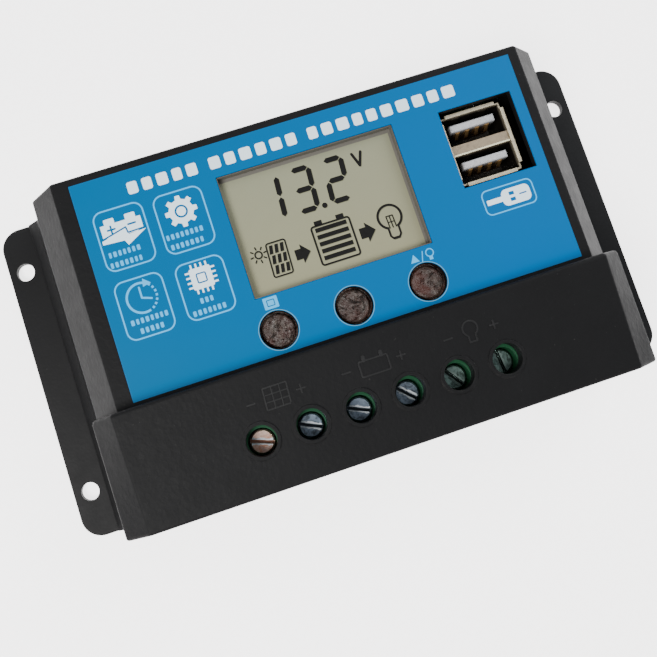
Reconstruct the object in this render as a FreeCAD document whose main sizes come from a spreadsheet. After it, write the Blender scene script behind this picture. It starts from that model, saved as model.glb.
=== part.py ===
import FreeCAD, Part
import os
import Sketcher
from FreeCAD import Vector

# Solar charge controller, millimetres, +Z up.
# Origin: middle of the four ear holes, on the mounting (back) plane.

DIMS = {
    # base plate with ears
    "ear_span": 150.0, "depth": 78.0, "plate_t": 2.0, "ear_round": 5.0,
    "hole_pitch_x": 142.0, "hole_pitch_y": 56.0, "hole_d": 4.4,
    "rim_x": 60.6, "rim_y": 36.7, "rim_t": 1.2, "rim_top": 4.2,
    "plate_edge_round": 0.4,
    # casing cross-section: half widths and heights of its corners
    "wall": 2.0, "foot_x": 67.0, "foot_z": 2.6, "flare_x": 64.4, "flare_z": 5.0,
    "skirt_x": 63.5, "skirt_z": 8.0, "shoulder_x": 60.7, "shoulder_z": 22.1,
    "deck_x": 54.6, "deck_z": 30.0,
    "in_foot_x": 61.9, "in_skirt_x": 61.5, "in_shoulder_x": 58.7, "in_shoulder_z": 21.4,
    "in_deck_x": 53.7, "deck_back_round": 0.8, "deck_edge_round": 0.6,
    # raised terminal ledge, back and front sections
    "ledge_y": -12.8, "ledge_back_z": 35.0, "ledge_back_x": 55.4, "ledge_side_z": 29.8,
    "ledge_side_x": 60.5, "ledge_front_z": 33.0, "ledge_front_x": 55.0,
    "ledge_front_side_z": 29.0, "ledge_front_side_x": 60.6,
    "ledge_in_back_z": 33.0, "ledge_in_front_z": 31.0, "ledge_in_x": 54.4,
    "ledge_in_side_x": 58.6, "ledge_in_side_z": 28.4,
    "ledge_end_round": 1.2, "ledge_roof_round": 0.8, "ledge_nose_round": 0.7,
    # face: label, display window, USB window
    "label_x0": -50.9, "label_x1": 52.3, "label_y0": -11.9, "label_y1": 37.1, "label_t": 0.25,
    "label_clear": 0.1,
    "lcd_x": 0.8, "lcd_y": 15.3, "lcd_w": 41.0, "lcd_h": 28.2,
    "usb_x": 41.05, "usb_y": 19.7, "usb_win_w": 17.3, "usb_win_h": 18.2,
    # push buttons
    "btn_x": 0.4, "btn_y": -6.7, "btn_pitch": 17.2, "btn_hole_r": 4.15,
    "cap_r": 3.7, "cap_top": 28.9, "cap_flange_r": 4.6, "cap_flange_t": 1.0,
    "cap_hub_r": 3.0, "cap_hub_z": 20.0, "cap_gap": 0.08,
    "plunger_r": 1.75, "plunger_top": 24.0, "plunger_foot_r": 2.2, "plunger_foot_t": 0.5,
    "plunger_tip_round": 0.3, "plunger_press_gap": 0.02, "cap_crown_h": 0.5, "cap_crown_in": 0.45,
    "cap_shoulder_h": 0.2, "cap_shoulder_in": 0.12,
    "slide_fit": 0.05, "tact_w": 6.2, "tact_h": 2.4, "tact_cover_t": 0.3, "tact_well_r": 2.6,
    "tact_well_floor": 0.8, "tact_round": 0.4, "dome_r": 2.1, "dome_rise": 0.94, "dome_t": 0.12,
    "dome_eye": 0.1, "dome_lift": 0.02,
    # terminals
    "term_pitch": 11.0, "term_hole_y": -27.8, "term_y": -28.3, "access_r": 3.3,
    "access_rim_r": 4.1, "access_rim_h": 0.25, "collar_r": 4.6, "collar_z": 30.7, "collar_top": 32.6,
    "mouth_gap": 0.3, "mouth_over": 0.5,
    "block_w": 67.6, "block_front": -38.6, "block_nose_z": 24.6, "block_front_up": -36.5,
    "block_back": -19.6, "block_top": 30.6, "block_hole_r": 3.1,
    "well_w": 7.9, "well_d": 6.9, "well_floor": 10.6, "well_top": 24.9,
    "wire_w": 6.0, "wire_z0": 12.0, "wire_z1": 16.5,
    "screw_head_r": 2.7, "screw_head_z": 26.0, "screw_head_h": 2.2, "screw_r": 2.0,
    "screw_tip_z": 18.05, "screw_slot_w": 0.8, "screw_slot_d": 1.2, "thread_fit": 0.03,
    "screw_tip_round": 0.5, "screw_head_round": 0.35, "screw_seat": 0.02,
    "cage_w": 7.6, "cage_d": 6.6, "cage_side": 0.9, "cage_z0": 10.8, "cage_floor": 1.2,
    "cage_z1": 20.8, "cage_roof": 2.4, "cage_round": 0.5,
    "bar_w": 4.8, "bar_z": 16.6, "bar_t": 1.4, "bar_front": -31.4, "bar_back": -21.5,
    "bar_leg_z": 6.4, "bar_slack": 0.06, "board_slot_slack": 0.1,
    # circuit board and its supports
    "pcb_x": 51.0, "pcb_y0": -36.0, "pcb_y1": 35.0, "pcb_z": 8.0, "pcb_t": 1.6,
    "post_x": 47.5, "post_y": 32.0, "post_y_front": -31.0, "post_r": 3.0,
    "pcb_screw_r": 1.25, "pcb_screw_head_r": 2.4, "pcb_screw_head_h": 1.6,
    "pcb_screw_tip": 4.0, "pcb_bore_extra": 0.6, "screw_play": 0.15, "screw_bite": 0.02,
    "pcb_cross_l": 2.6, "pcb_cross_w": 0.6, "pcb_cross_d": 0.9,
    # casing screws, driven from the back
    "boss_x": 55.0, "boss_y": 32.4, "boss_r": 3.5, "boss_z": 5.0, "boss_top": 23.5,
    "boss_front_top": 29.5, "pad_r": 4.2, "case_screw_r": 1.5, "case_head_r": 2.8,
    "case_head_z0": 0.4, "case_head_z1": 2.4, "case_screw_tip": 14.0, "boss_bore_top": 16.0,
    "case_cross_l": 3.2, "case_cross_w": 0.7, "case_cross_d": 1.1,
    # display module
    "glass_w": 44.0, "glass_d": 31.0, "glass_z": 25.6, "glass_t": 2.0,
    "frame_t": 0.8, "frame_z": 20.5, "frame_floor": 1.2, "frame_top": 27.3, "frame_leg": 3.0,
    "glass_shelf": 1.2, "frame_fit": 0.05, "frame_back_in": 0.3, "frame_sill": 3.0,
    "light_w": 42.6, "light_d": 29.8, "pin_pitch": 2.6, "pin_w": 0.6, "pin_t": 0.35,
    "pin_z": 6.8, "pin_hook": 1.0, "pin_hook_t": 0.3, "pin_clear": 0.02,
    "pin_slot_end": 0.5, "pin_slot_front": 0.1, "pin_slot_back": 0.2,
    # stacked USB sockets, mouths facing up
    "usb_w": 14.6, "usb_d": 16.3, "usb_top": 27.6, "usb_wall": 0.4, "usb_gap": 2.5,
    "usb_step": 9.0, "usb_corner": 0.35, "usb_divider_drop": 0.35, "usb_fit": 0.04,
    "tongue_w": 10.8, "tongue_t": 1.7, "tongue_shift": 0.9,
    "port_x": 40.3, "port_y": 19.7, "lip_z": 27.0, "lip_out": 0.42, "lip_half_x": 6.0, "lip_half_y": 6.7,
    "tongue_top": 26.6, "tongue_round": 0.4, "usb_core_top": 16.0, "contact_w": 1.0, "contact_t": 0.2,
    "contact_pitch": 2.4, "contact_top": 25.4, "contact_clear": 0.01,
    # power and control parts on the board
    "plate_w": 88.0, "plate_y0": -12.0, "plate_y1": 10.0, "spread_t": 1.0, "pad_t": 0.6,
    "pad_margin": 2.0, "pad_margin_back": 4.0,
    "fet_pitch": 22.0, "fet_y": -2.0, "fet_w": 10.2, "fet_d": 9.2, "fet_lead": 3.4,
    "fet_gap": 0.1, "fet_round": 0.5, "fet_tab_in": 0.6, "fet_tab_l": 1.4, "fet_tab_t": 1.3,
    "fet_leg_half": 0.4, "fet_leg_low": 1.4, "fet_leg_high": 0.8, "fet_foot": 1.2,
    "cap_can_r": 5.0, "cap_can_h": 14.0, "cap_can_x": -42.0, "cap_can_y": 1.0,
    "cap_can_pitch": 14.0, "cap_can_round": 0.5, "cap_can_groove": 1.6,
    "coil_x": 41.0, "coil_y": -5.0, "coil_flange_r": 5.0,
    "coil_core_r": 2.4, "coil_wire_r": 4.4, "coil_flange_t": 1.2, "coil_h": 8.0,
    "coil_clear": 0.02,
    "chip_x": 0.8, "chip_y": 13.0, "chip_w": 10.0, "chip_t": 1.4, "chip_lead": 1.0,
    "chip_gap": 0.1, "chip_corner": 1.0, "chip_lead_half": 0.2, "chip_lead_t": 0.3,
}
TERMINALS, BUTTONS, PINS, FETS, CHIP_LEADS = 6, 3, 14, 4, 8
SLOT_TURNS = (-20, -24, -23, -44, -54, -85)

doc = FreeCAD.newDocument("charge_controller")
sheet = doc.addObject("Spreadsheet::Sheet", "dims")
for row, (alias, number) in enumerate(DIMS.items(), start=1):
    sheet.set("A%d" % row, alias)
    sheet.set("B%d" % row, "%g" % number)
    sheet.setAlias("B%d" % row, alias)
doc.recompute()


class Q:
    """A length: its present value and the spreadsheet expression that drives it."""

    def __init__(self, value, text=None):
        self.value = float(value)
        self.text = "%.6g" % value if text is None else text

    def _join(self, other, sign, value):
        other = other if isinstance(other, Q) else Q(other)
        return Q(value(self.value, other.value), "(%s %s %s)" % (self.text, sign, other.text))

    def __add__(self, other):
        return self._join(other, "+", lambda a, b: a + b)

    def __sub__(self, other):
        return self._join(other, "-", lambda a, b: a - b)

    def __mul__(self, other):
        return self._join(other, "*", lambda a, b: a * b)

    def __truediv__(self, other):
        return self._join(other, "/", lambda a, b: a / b)

    def __neg__(self):
        return Q(-self.value, "(-1 * %s)" % self.text)


def d(alias):
    """The spreadsheet cell called alias, as a driving length."""
    return Q(DIMS[alias], "dims.%s" % alias)


ZERO = Q(0)          # a sketch coordinate that lies on an axis of the sketch
NIL = Q(0.0)         # an ordinary distance of nothing
OVER = Q(1.0)        # how far a cutting tool reaches past what it cuts
PLATE_TOP = d("plate_t")
PCB_TOP = d("pcb_z") + d("pcb_t")


# ---------------------------------------------------------------- modelling helpers
def bind(obj, prop, length):
    obj.setExpression(prop, length.text)


def new_body(name):
    body = doc.addObject("PartDesign::Body", name)
    body.Label = name
    return body


def sketch(body, role, level):
    """A sketch on one of the body's origin planes, moved to a level along that axis."""
    sk = body.newObject("Sketcher::SketchObject", body.Name + "_sketch")
    plane = [f for f in body.Origin.OriginFeatures if f.Role == role][0]
    sk.AttachmentSupport = [(plane, "")]
    sk.MapMode = "FlatFace"
    bind(sk, "AttachmentOffset.Base.z", -level if role == "XZ_Plane" else level)
    return sk


def pin(sk, geo, pos, point):
    """Hold a sketch point at driven distances from the sketch origin."""
    for kind, axis, length in zip(("DistanceX", "DistanceY"), (-2, -1), point):
        if length is ZERO:
            sk.addConstraint(Sketcher.Constraint("PointOnObject", geo, pos, axis))
            continue
        index = sk.addConstraint(Sketcher.Constraint(kind, -1, 1, geo, pos, length.value))
        sk.setExpression("Constraints[%d]" % index, length.text)


def polygon(sk, points):
    first, n = sk.GeometryCount, len(points)
    spots = [Vector(x.value, y.value, 0) for x, y in points]
    for i in range(n):
        sk.addGeometry(Part.LineSegment(spots[i], spots[(i + 1) % n]), False)
    for i in range(n):
        sk.addConstraint(Sketcher.Constraint("Coincident", first + i, 2, first + (i + 1) % n, 1))
    for i in range(n):
        pin(sk, first + i, 1, points[i])


def rectangle(sk, x0, x1, y0, y1):
    polygon(sk, [(x0, y0), (x1, y0), (x1, y1), (x0, y1)])


def centred(sk, x, y, w, h):
    rectangle(sk, x - w / 2, x + w / 2, y - h / 2, y + h / 2)


def circle(sk, x, y, r):
    geo = sk.addGeometry(Part.Circle(Vector(x.value, y.value, 0), Vector(0, 0, 1), r.value), False)
    pin(sk, geo, 3, (x, y))
    index = sk.addConstraint(Sketcher.Constraint("Radius", geo, r.value))
    sk.setExpression("Constraints[%d]" % index, r.text)


def sweep(body, kind, sk, length, backwards=False):
    feature = body.newObject("PartDesign::" + kind, body.Name + "_" + kind.lower())
    feature.Profile = sk
    bind(feature, "Length", length)
    feature.Reversed = backwards
    sk.Visibility = False
    body.Tip = feature
    doc.recompute()
    return feature


def pad_up(body, draw, low, high):
    """Pad what draw() sketches on the horizontal plane, from low to high."""
    sk = sketch(body, "XY_Plane", low)
    draw(sk)
    return sweep(body, "Pad", sk, high - low)


def cut_down(body, draw, high, low):
    """Pocket what draw() sketches, from the plane at high down to low."""
    sk = sketch(body, "XY_Plane", high)
    draw(sk)
    before = body.Shape.Volume
    feature = sweep(body, "Pocket", sk, high - low)
    if not body.Shape.Volume < before:
        raise RuntimeError("pocket in %s removes nothing" % body.Name)
    return feature


def pad_along_y(body, draw, front, back):
    """Pad a profile drawn in X and Z, from front to back along +Y."""
    sk = sketch(body, "XZ_Plane", front)
    draw(sk)
    return sweep(body, "Pad", sk, back - front, backwards=True)


def cut_along_y(body, draw, front, back):
    """Pocket a profile drawn in X and Z, from the front face inwards along +Y."""
    sk = sketch(body, "XZ_Plane", front)
    draw(sk)
    before = body.Shape.Volume
    sweep(body, "Pocket", sk, back - front)
    if not body.Shape.Volume < before:
        raise RuntimeError("pocket in %s removes nothing" % body.Name)


def round_edges(body, radius, wanted):
    """Fillet the edges of the body's tip whose middle point passes the test."""
    tip = body.Tip
    names = ["Edge%d" % (i + 1) for i, e in enumerate(tip.Shape.Edges)
             if wanted(e.valueAt((e.FirstParameter + e.LastParameter) / 2), e)]
    if not names:
        raise RuntimeError("no edge to round on " + body.Name)
    fillet = body.newObject("PartDesign::Fillet", body.Name + "_fillet")
    fillet.Base = (tip, names)
    bind(fillet, "Radius", radius)
    body.Tip = fillet
    doc.recompute()
    return fillet


def revolve(body, points):
    """Turn a half profile, drawn as radius and height, about the body's Z axis."""
    sk = sketch(body, "XZ_Plane", ZERO)
    polygon(sk, points)
    turn = body.newObject("PartDesign::Revolution", body.Name + "_turn")
    turn.Profile = sk
    turn.ReferenceAxis = (sk, ["V_Axis"])
    turn.Angle = 360
    sk.Visibility = False
    body.Tip = turn
    doc.recompute()
    return turn


def place(body, x, y):
    bind(body, "Placement.Base.x", x)
    bind(body, "Placement.Base.y", y)


def boolean(kind, name, shapes):
    obj = doc.addObject("Part::" + kind, name)
    if kind == "Cut":
        obj.Base, obj.Tool = shapes
    else:
        obj.Shapes = shapes
    obj.Label = name
    doc.recompute()
    return obj


def near(value, target, tolerance=0.05):
    return abs(value - target) < tolerance


def corners(x, y, front_y=None):
    """The four points (+-x, +-y), or with a different y on the front side."""
    front = -y if front_y is None else front_y
    return [(sx, sy) for sx in (x, -x) for sy in (y, front)]


def row_x(pitch, i, count):
    """Position of the i-th of count things in a centred row."""
    return pitch * (i - (count - 1) / 2)


NODES = {}


def keep(node, obj):
    obj.Label = node
    NODES[node] = obj


# ---------------------------------------------------------------- base plate
def build_base():
    body = new_body("base_plate")
    half_x, half_y = d("ear_span") / 2, d("depth") / 2
    pad_up(body, lambda s: rectangle(s, -half_x, half_x, -half_y, half_y), NIL, PLATE_TOP)
    round_edges(body, d("ear_round"), lambda p, e: near(p.z, PLATE_TOP.value / 2))
    round_edges(body, d("plate_edge_round"), lambda p, e: near(p.z, PLATE_TOP.value))

    def rim(s):
        x, y, t = d("rim_x"), d("rim_y"), d("rim_t")
        rectangle(s, -x, x, -y, y)
        rectangle(s, -x + t, x - t, -y + t, y - t)

    pad_up(body, rim, PLATE_TOP, d("rim_top"))

    def screw_pads(s):
        for x, y in corners(d("boss_x"), d("boss_y")):
            circle(s, x, y, d("pad_r"))

    pad_up(body, screw_pads, PLATE_TOP, d("boss_z"))

    def posts(s):
        for x, y in corners(d("post_x"), d("post_y"), d("post_y_front")):
            circle(s, x, y, d("post_r"))

    pad_up(body, posts, PLATE_TOP, d("pcb_z"))

    def post_bores(s):
        for x, y in corners(d("post_x"), d("post_y"), d("post_y_front")):
            circle(s, x, y, d("pcb_screw_r") + d("screw_bite"))

    cut_down(body, post_bores, d("pcb_z"), d("pcb_screw_tip") - d("pcb_bore_extra"))

    def ear_holes(s):
        for x, y in corners(d("hole_pitch_x") / 2, d("hole_pitch_y") / 2):
            circle(s, x, y, d("hole_d") / 2)

    cut_down(body, ear_holes, PLATE_TOP, NIL)

    def shank_holes(s):
        for x, y in corners(d("boss_x"), d("boss_y")):
            circle(s, x, y, d("case_screw_r") + d("screw_play"))

    cut_down(body, shank_holes, d("boss_z"), NIL)

    def head_holes(s):
        for x, y in corners(d("boss_x"), d("boss_y")):
            circle(s, x, y, d("case_head_r") + d("screw_play") * 2)

    cut_down(body, head_holes, d("case_head_z1"), NIL)
    keep("base_plate", body)


# ---------------------------------------------------------------- casing
def mirror_profile(sk, half):
    """A closed profile, symmetric left to right, from its right half listed upwards."""
    polygon(sk, half + [(-x, z) for x, z in reversed(half)])


def deck_outer(name):
    body = new_body(name)
    half = [(d("foot_x"), PLATE_TOP), (d("foot_x"), d("foot_z")), (d("flare_x"), d("flare_z")),
            (d("skirt_x"), d("skirt_z")), (d("shoulder_x"), d("shoulder_z")),
            (d("deck_x"), d("deck_z"))]
    pad_along_y(body, lambda s: mirror_profile(s, half), -d("depth") / 2, d("depth") / 2)
    top, back = DIMS["deck_z"], DIMS["depth"] / 2
    round_edges(body, d("deck_back_round"), lambda p, e: near(p.y, back) and p.z > DIMS["flare_z"])
    length = DIMS["depth"]
    round_edges(body, d("deck_edge_round"),
                lambda p, e: near(p.z, top) and near(p.y, 0, 1) and e.Length > length * 0.9)
    return body


def loft(body, kind, sections):
    """Loft between half profiles given as (y, half) pairs."""
    sketches = []
    for y, half in sections:
        sk = sketch(body, "XZ_Plane", y)
        mirror_profile(sk, half)
        sk.Visibility = False
        sketches.append(sk)
    feature = body.newObject("PartDesign::" + kind, body.Name + "_loft")
    feature.Profile = sketches[0]
    feature.Sections = sketches[1:]
    feature.Ruled = True
    body.Tip = feature
    doc.recompute()
    return feature


def ledge_outer(name, lift):
    """The raised terminal ledge; lift moves the whole top skin outwards, for the hole rims."""
    body = new_body(name)
    back = [(d("skirt_x"), d("skirt_z")), (d("ledge_side_x"), d("ledge_side_z") + lift),
            (d("ledge_back_x"), d("ledge_back_z") + lift)]
    front = [(d("skirt_x"), d("skirt_z")), (d("ledge_front_side_x"), d("ledge_front_side_z") + lift),
             (d("ledge_front_x"), d("ledge_front_z") + lift)]
    loft(body, "AdditiveLoft", [(d("ledge_y"), back), (-d("depth") / 2, front)])
    return body


def on_ledge_top(p):
    """True on the ledge's sloping roof and on its two chamfers, above their lower edges."""
    return p.z > (DIMS["ledge_side_z"] + DIMS["ledge_front_side_z"]) / 2


def build_ledge_rounded():
    body = ledge_outer("ledge_block", NIL)
    back, front = DIMS["ledge_y"], -DIMS["depth"] / 2
    middle_z = (DIMS["ledge_side_z"] + DIMS["skirt_z"]) / 2
    round_edges(body, d("ledge_end_round"), lambda p, e: near(p.y, back) and near(p.z, middle_z, 0.5)
                and abs(p.x) > DIMS["ledge_back_x"])
    round_edges(body, d("ledge_roof_round"), lambda p, e: on_ledge_top(p) and not near(p.y, front))
    round_edges(body, d("ledge_nose_round"), lambda p, e: on_ledge_top(p) and near(p.y, front))
    return body


def cavity():
    body = new_body("case_cavity")
    half = [(d("in_foot_x"), PLATE_TOP - OVER), (d("in_skirt_x"), d("skirt_z")),
            (d("in_shoulder_x"), d("in_shoulder_z")), (d("in_deck_x"), d("deck_z") - d("wall"))]
    front, back = d("wall") - d("depth") / 2, d("depth") / 2 - d("wall")
    pad_along_y(body, lambda s: mirror_profile(s, half), front, back)
    side = (d("ledge_in_side_x"), d("ledge_in_side_z"))
    skirt = (d("in_skirt_x"), d("skirt_z"))
    rear = [skirt, side, (d("ledge_in_x"), d("ledge_in_back_z"))]
    nose = [skirt, side, (d("ledge_in_x"), d("ledge_in_front_z"))]
    loft(body, "AdditiveLoft", [(d("ledge_y") - d("wall"), rear), (front, nose)])
    return body


def term_x(i):
    return row_x(d("term_pitch"), i, TERMINALS)


def button_x(i):
    return d("btn_x") + row_x(d("btn_pitch"), i, BUTTONS)


def face_windows(sk, grow=NIL):
    """The display, USB and button openings shared by the casing and the label."""
    centred(sk, d("lcd_x"), d("lcd_y"), d("lcd_w") + grow, d("lcd_h") + grow)
    centred(sk, d("usb_x"), d("usb_y"), d("usb_win_w") + grow, d("usb_win_h") + grow)
    for i in range(BUTTONS):
        circle(sk, button_x(i), d("btn_y"), d("btn_hole_r") + grow)


def access_holes(sk, radius):
    for i in range(TERMINALS):
        circle(sk, term_x(i), d("term_hole_y"), radius)


def case_cutters():
    """Openings cut through the casing: face windows, screw access, terminal front."""
    windows = new_body("case_windows")
    pad_up(windows, face_windows, d("deck_z") - d("wall") - OVER, d("deck_z") + OVER)
    access = new_body("case_access")
    pad_up(access, lambda s: access_holes(s, d("access_r")), d("collar_z") - OVER, d("ledge_back_z") + OVER)
    mouth = new_body("case_mouth")
    gap = d("mouth_gap")
    pad_along_y(mouth, lambda s: rectangle(s, -d("block_w") / 2 - gap, d("block_w") / 2 + gap,
                                           PCB_TOP - gap, d("block_nose_z") + gap),
                -d("depth") / 2 - OVER, -d("depth") / 2 + d("wall") + d("mouth_over"))
    bores = new_body("case_boss_bores")

    def bore(s):
        for x, y in corners(d("boss_x"), d("boss_y")):
            circle(s, x, y, d("case_screw_r") + d("screw_bite"))

    pad_up(bores, bore, d("boss_z") - OVER, d("boss_bore_top"))
    return [windows, access, mouth, bores]


def case_extras():
    """Material added inside the hollow casing: screw bosses and access-hole collars."""
    rear, front = new_body("case_bosses_rear"), new_body("case_bosses_front")
    x, y, r = d("boss_x"), d("boss_y"), d("boss_r")
    pad_up(rear, lambda s: [circle(s, sx, y, r) for sx in (x, -x)], d("boss_z"), d("boss_top"))
    pad_up(front, lambda s: [circle(s, sx, -y, r) for sx in (x, -x)], d("boss_z"), d("boss_front_top"))
    collars = new_body("case_collars")
    pad_up(collars, lambda s: access_holes(s, d("collar_r")), d("collar_z"), d("collar_top"))
    return [rear, front, collars]


def build_case():
    rim_rings = new_body("access_rims")
    pad_up(rim_rings, lambda s: access_holes(s, d("access_rim_r")), d("ledge_front_z") - OVER,
           d("ledge_back_z") + OVER)
    lifted = ledge_outer("ledge_lifted", d("access_rim_h"))
    rims = boolean("MultiCommon", "rims_on_slope", [rim_rings, lifted])
    skin = boolean("MultiFuse", "case_skin", [deck_outer("deck_block"), build_ledge_rounded(), rims])
    hollow = boolean("Cut", "case_hollow", [skin, cavity()])
    filled = boolean("MultiFuse", "case_filled", [hollow] + case_extras())
    cutters = boolean("MultiFuse", "case_openings", case_cutters())
    keep("case_shell", boolean("Cut", "case_shell", [filled, cutters]))


def build_case_screws():
    body = new_body("case_screws")
    spots = corners(d("boss_x"), d("boss_y"))
    pad_up(body, lambda s: [circle(s, x, y, d("case_head_r")) for x, y in spots],
           d("case_head_z0"), d("case_head_z1"))
    pad_up(body, lambda s: [circle(s, x, y, d("case_screw_r")) for x, y in spots],
           d("case_head_z1"), d("case_screw_tip"))
    long, short = d("case_cross_l"), d("case_cross_w")
    for w, h in ((long, short), (short, long)):
        cut_down(body, lambda s: [centred(s, x, y, w, h) for x, y in spots],
                 d("case_head_z0") + d("case_cross_d"), d("case_head_z0"))
    keep("case_screws", body)


def build_label():
    body = new_body("face_label")

    def outline(s):
        rectangle(s, d("label_x0"), d("label_x1"), d("label_y0"), d("label_y1"))
        face_windows(s, d("label_clear"))

    pad_up(body, outline, d("deck_z"), d("deck_z") + d("label_t"))
    keep("face_label", body)


# ---------------------------------------------------------------- display
def build_display():
    glass = new_body("lcd_glass")
    x, y, w, h = d("lcd_x"), d("lcd_y"), d("glass_w"), d("glass_d")
    step_z = d("glass_z") + d("glass_t") / 2
    pad_up(glass, lambda s: centred(s, x, y, w, h), d("glass_z"), step_z)
    pad_up(glass, lambda s: rectangle(s, x - w / 2, x + w / 2, y - h / 2, y + h / 2 - d("glass_shelf")),
           step_z, d("glass_z") + d("glass_t"))
    keep("lcd_glass", glass)

    light = new_body("lcd_backlight")
    pad_up(light, lambda s: centred(s, x, y, d("light_w"), d("light_d")),
           d("frame_z") + d("frame_floor"), d("glass_z"))
    keep("lcd_backlight", light)

    frame = new_body("lcd_frame")
    t = d("frame_t")
    fit, play, sill = d("frame_fit"), d("frame_fit") * 2, d("frame_sill") * 2
    fw, rear = w + t * 2, y + h / 2 - d("frame_back_in")
    pad_up(frame, lambda s: rectangle(s, x - fw / 2, x + fw / 2, y - h / 2 - t, rear),
           d("frame_z"), d("frame_top"))
    cut_down(frame, lambda s: rectangle(s, x - w / 2 - fit, x + w / 2 + fit, y - h / 2 - fit, rear + OVER),
             d("frame_top"), d("glass_z"))
    cut_down(frame, lambda s: centred(s, x, y, d("light_w") + play, d("light_d") + play),
             d("glass_z"), d("frame_z") + d("frame_floor"))
    cut_down(frame, lambda s: centred(s, x, y, d("light_w") - sill, d("light_d") - sill),
             d("frame_z") + d("frame_floor"), d("frame_z"))
    leg = d("frame_leg")
    lx, ly = fw / 2 - leg / 2, h / 2 - leg / 2 - d("frame_back_in")
    pad_up(frame, lambda s: [centred(s, x + sx, y + sy, leg, leg)
                             for sx in (lx, -lx) for sy in (ly, -ly)], PCB_TOP, d("frame_z"))
    keep("lcd_frame", frame)

    pins = new_body("lcd_pins")
    edge = y + h / 2
    inner, outer = edge + d("pin_clear"), edge + d("pin_clear") + d("pin_t")

    def row(s, front):
        for i in range(PINS):
            px = x + row_x(d("pin_pitch"), i, PINS)
            rectangle(s, px - d("pin_w") / 2, px + d("pin_w") / 2, front, outer)

    pad_up(pins, lambda s: row(s, inner), d("pin_z"), step_z)
    pad_up(pins, lambda s: row(s, edge - d("pin_hook")), step_z, step_z + d("pin_hook_t"))
    keep("lcd_pins", pins)


# ---------------------------------------------------------------- buttons and their switches
def build_button(i):
    x, y = button_x(i), d("btn_y")
    base_top = PCB_TOP + d("tact_h")
    well = PCB_TOP + d("tact_well_floor")
    foot_z = base_top - d("plunger_foot_t") - d("plunger_press_gap")

    base = new_body("switch_base_%d" % (i + 1))
    pad_up(base, lambda s: centred(s, NIL, NIL, d("tact_w"), d("tact_w")), PCB_TOP, base_top)
    cut_down(base, lambda s: circle(s, ZERO, ZERO, d("tact_well_r")), base_top, well)
    corner = DIMS["tact_w"] / 2
    round_edges(base, d("tact_round"), lambda p, e: near(abs(p.x), corner) and near(abs(p.y), corner))

    cover = new_body("switch_cover_%d" % (i + 1))
    pad_up(cover, lambda s: (centred(s, NIL, NIL, d("tact_w"), d("tact_w")),
                             circle(s, ZERO, ZERO, d("plunger_r") + d("slide_fit"))),
           base_top, base_top + d("tact_cover_t"))

    dome = new_body("switch_dome_%d" % (i + 1))
    r, t, rise = d("dome_r"), d("dome_t"), d("dome_rise")
    lower = [(d("dome_eye"), rise), (r * 0.5, rise * 0.8), (r * 0.85, rise * 0.32), (r, d("dome_lift"))]
    upper = [(px, pz + t) for px, pz in reversed(lower)]
    revolve(dome, [(px, pz + well) for px, pz in lower + upper])

    plunger = new_body("switch_plunger_%d" % (i + 1))
    tip, soft, top = d("plunger_r"), d("plunger_tip_round"), d("plunger_top")
    revolve(plunger, [(ZERO, foot_z), (d("plunger_foot_r"), foot_z),
                      (d("plunger_foot_r"), foot_z + d("plunger_foot_t")),
                      (tip, foot_z + d("plunger_foot_t")), (tip, top - soft), (tip - soft, top),
                      (ZERO, top)])

    cap = new_body("button_cap_%d" % (i + 1))
    bore, roof = d("plunger_r") + d("plunger_press_gap"), d("plunger_top") + d("plunger_press_gap")
    stop = d("deck_z") - d("wall") - d("cap_gap")
    low = stop - d("cap_flange_t")
    rim, side = d("cap_top"), d("cap_r")
    revolve(cap, [(ZERO, roof), (bore, roof), (bore, d("cap_hub_z")), (d("cap_hub_r"), d("cap_hub_z")),
                  (d("cap_hub_r"), low), (d("cap_flange_r"), low), (d("cap_flange_r"), stop),
                  (side, stop), (side, rim - d("cap_crown_h")),
                  (side - d("cap_shoulder_in"), rim - d("cap_shoulder_h")),
                  (side - d("cap_crown_in"), rim), (ZERO, rim)])

    for node, body in (("switch_base", base), ("switch_cover", cover), ("switch_dome", dome),
                       ("switch_plunger", plunger), ("button_cap", cap)):
        place(body, x, y)
        keep("%s_%d" % (node, i + 1), body)


# ---------------------------------------------------------------- terminals
def build_block():
    body = new_body("terminal_block")
    sk = sketch(body, "YZ_Plane", -d("block_w") / 2)
    polygon(sk, [(d("block_front"), PCB_TOP), (d("block_front"), d("block_nose_z")),
                 (d("block_front_up"), d("block_nose_z")), (d("block_front_up"), d("block_top")),
                 (d("block_back"), d("block_top")), (d("block_back"), PCB_TOP)])
    sweep(body, "Pad", sk, d("block_w"))
    ys = d("term_y")

    def wells(s):
        for i in range(TERMINALS):
            centred(s, term_x(i), ys, d("well_w"), d("well_d"))

    # The wells are cut from below and closed again by a thin floor.
    cut_down(body, wells, d("well_top"), PCB_TOP)
    pad_up(body, wells, PCB_TOP, d("well_floor"))
    cut_down(body, lambda s: [circle(s, term_x(i), ys, d("screw_r") + d("thread_fit"))
                              for i in range(TERMINALS)], d("screw_head_z"), d("well_top"))
    cut_down(body, lambda s: [circle(s, term_x(i), ys, d("block_hole_r")) for i in range(TERMINALS)],
             d("block_top"), d("screw_head_z") - d("screw_seat"))
    front = d("block_front")

    def wire_ways(s):
        for i in range(TERMINALS):
            rectangle(s, term_x(i) - d("wire_w") / 2, term_x(i) + d("wire_w") / 2,
                      d("wire_z0"), d("wire_z1"))

    cut_along_y(body, wire_ways, front, ys)
    slack, half = d("bar_slack"), d("bar_w") / 2 + d("bar_slack")

    def bar_slots(s):
        for i in range(TERMINALS):
            rectangle(s, term_x(i) - half, term_x(i) + half, ys, d("bar_back") + slack)

    cut_down(body, bar_slots, d("bar_z") + d("bar_t") + slack, d("bar_z") - slack)

    def leg_slots(s):
        for i in range(TERMINALS):
            rectangle(s, term_x(i) - half, term_x(i) + half,
                      d("bar_back") - d("bar_t") - slack, d("bar_back") + slack)

    cut_down(body, leg_slots, d("bar_z"), PCB_TOP)
    keep("terminal_block", body)


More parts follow.
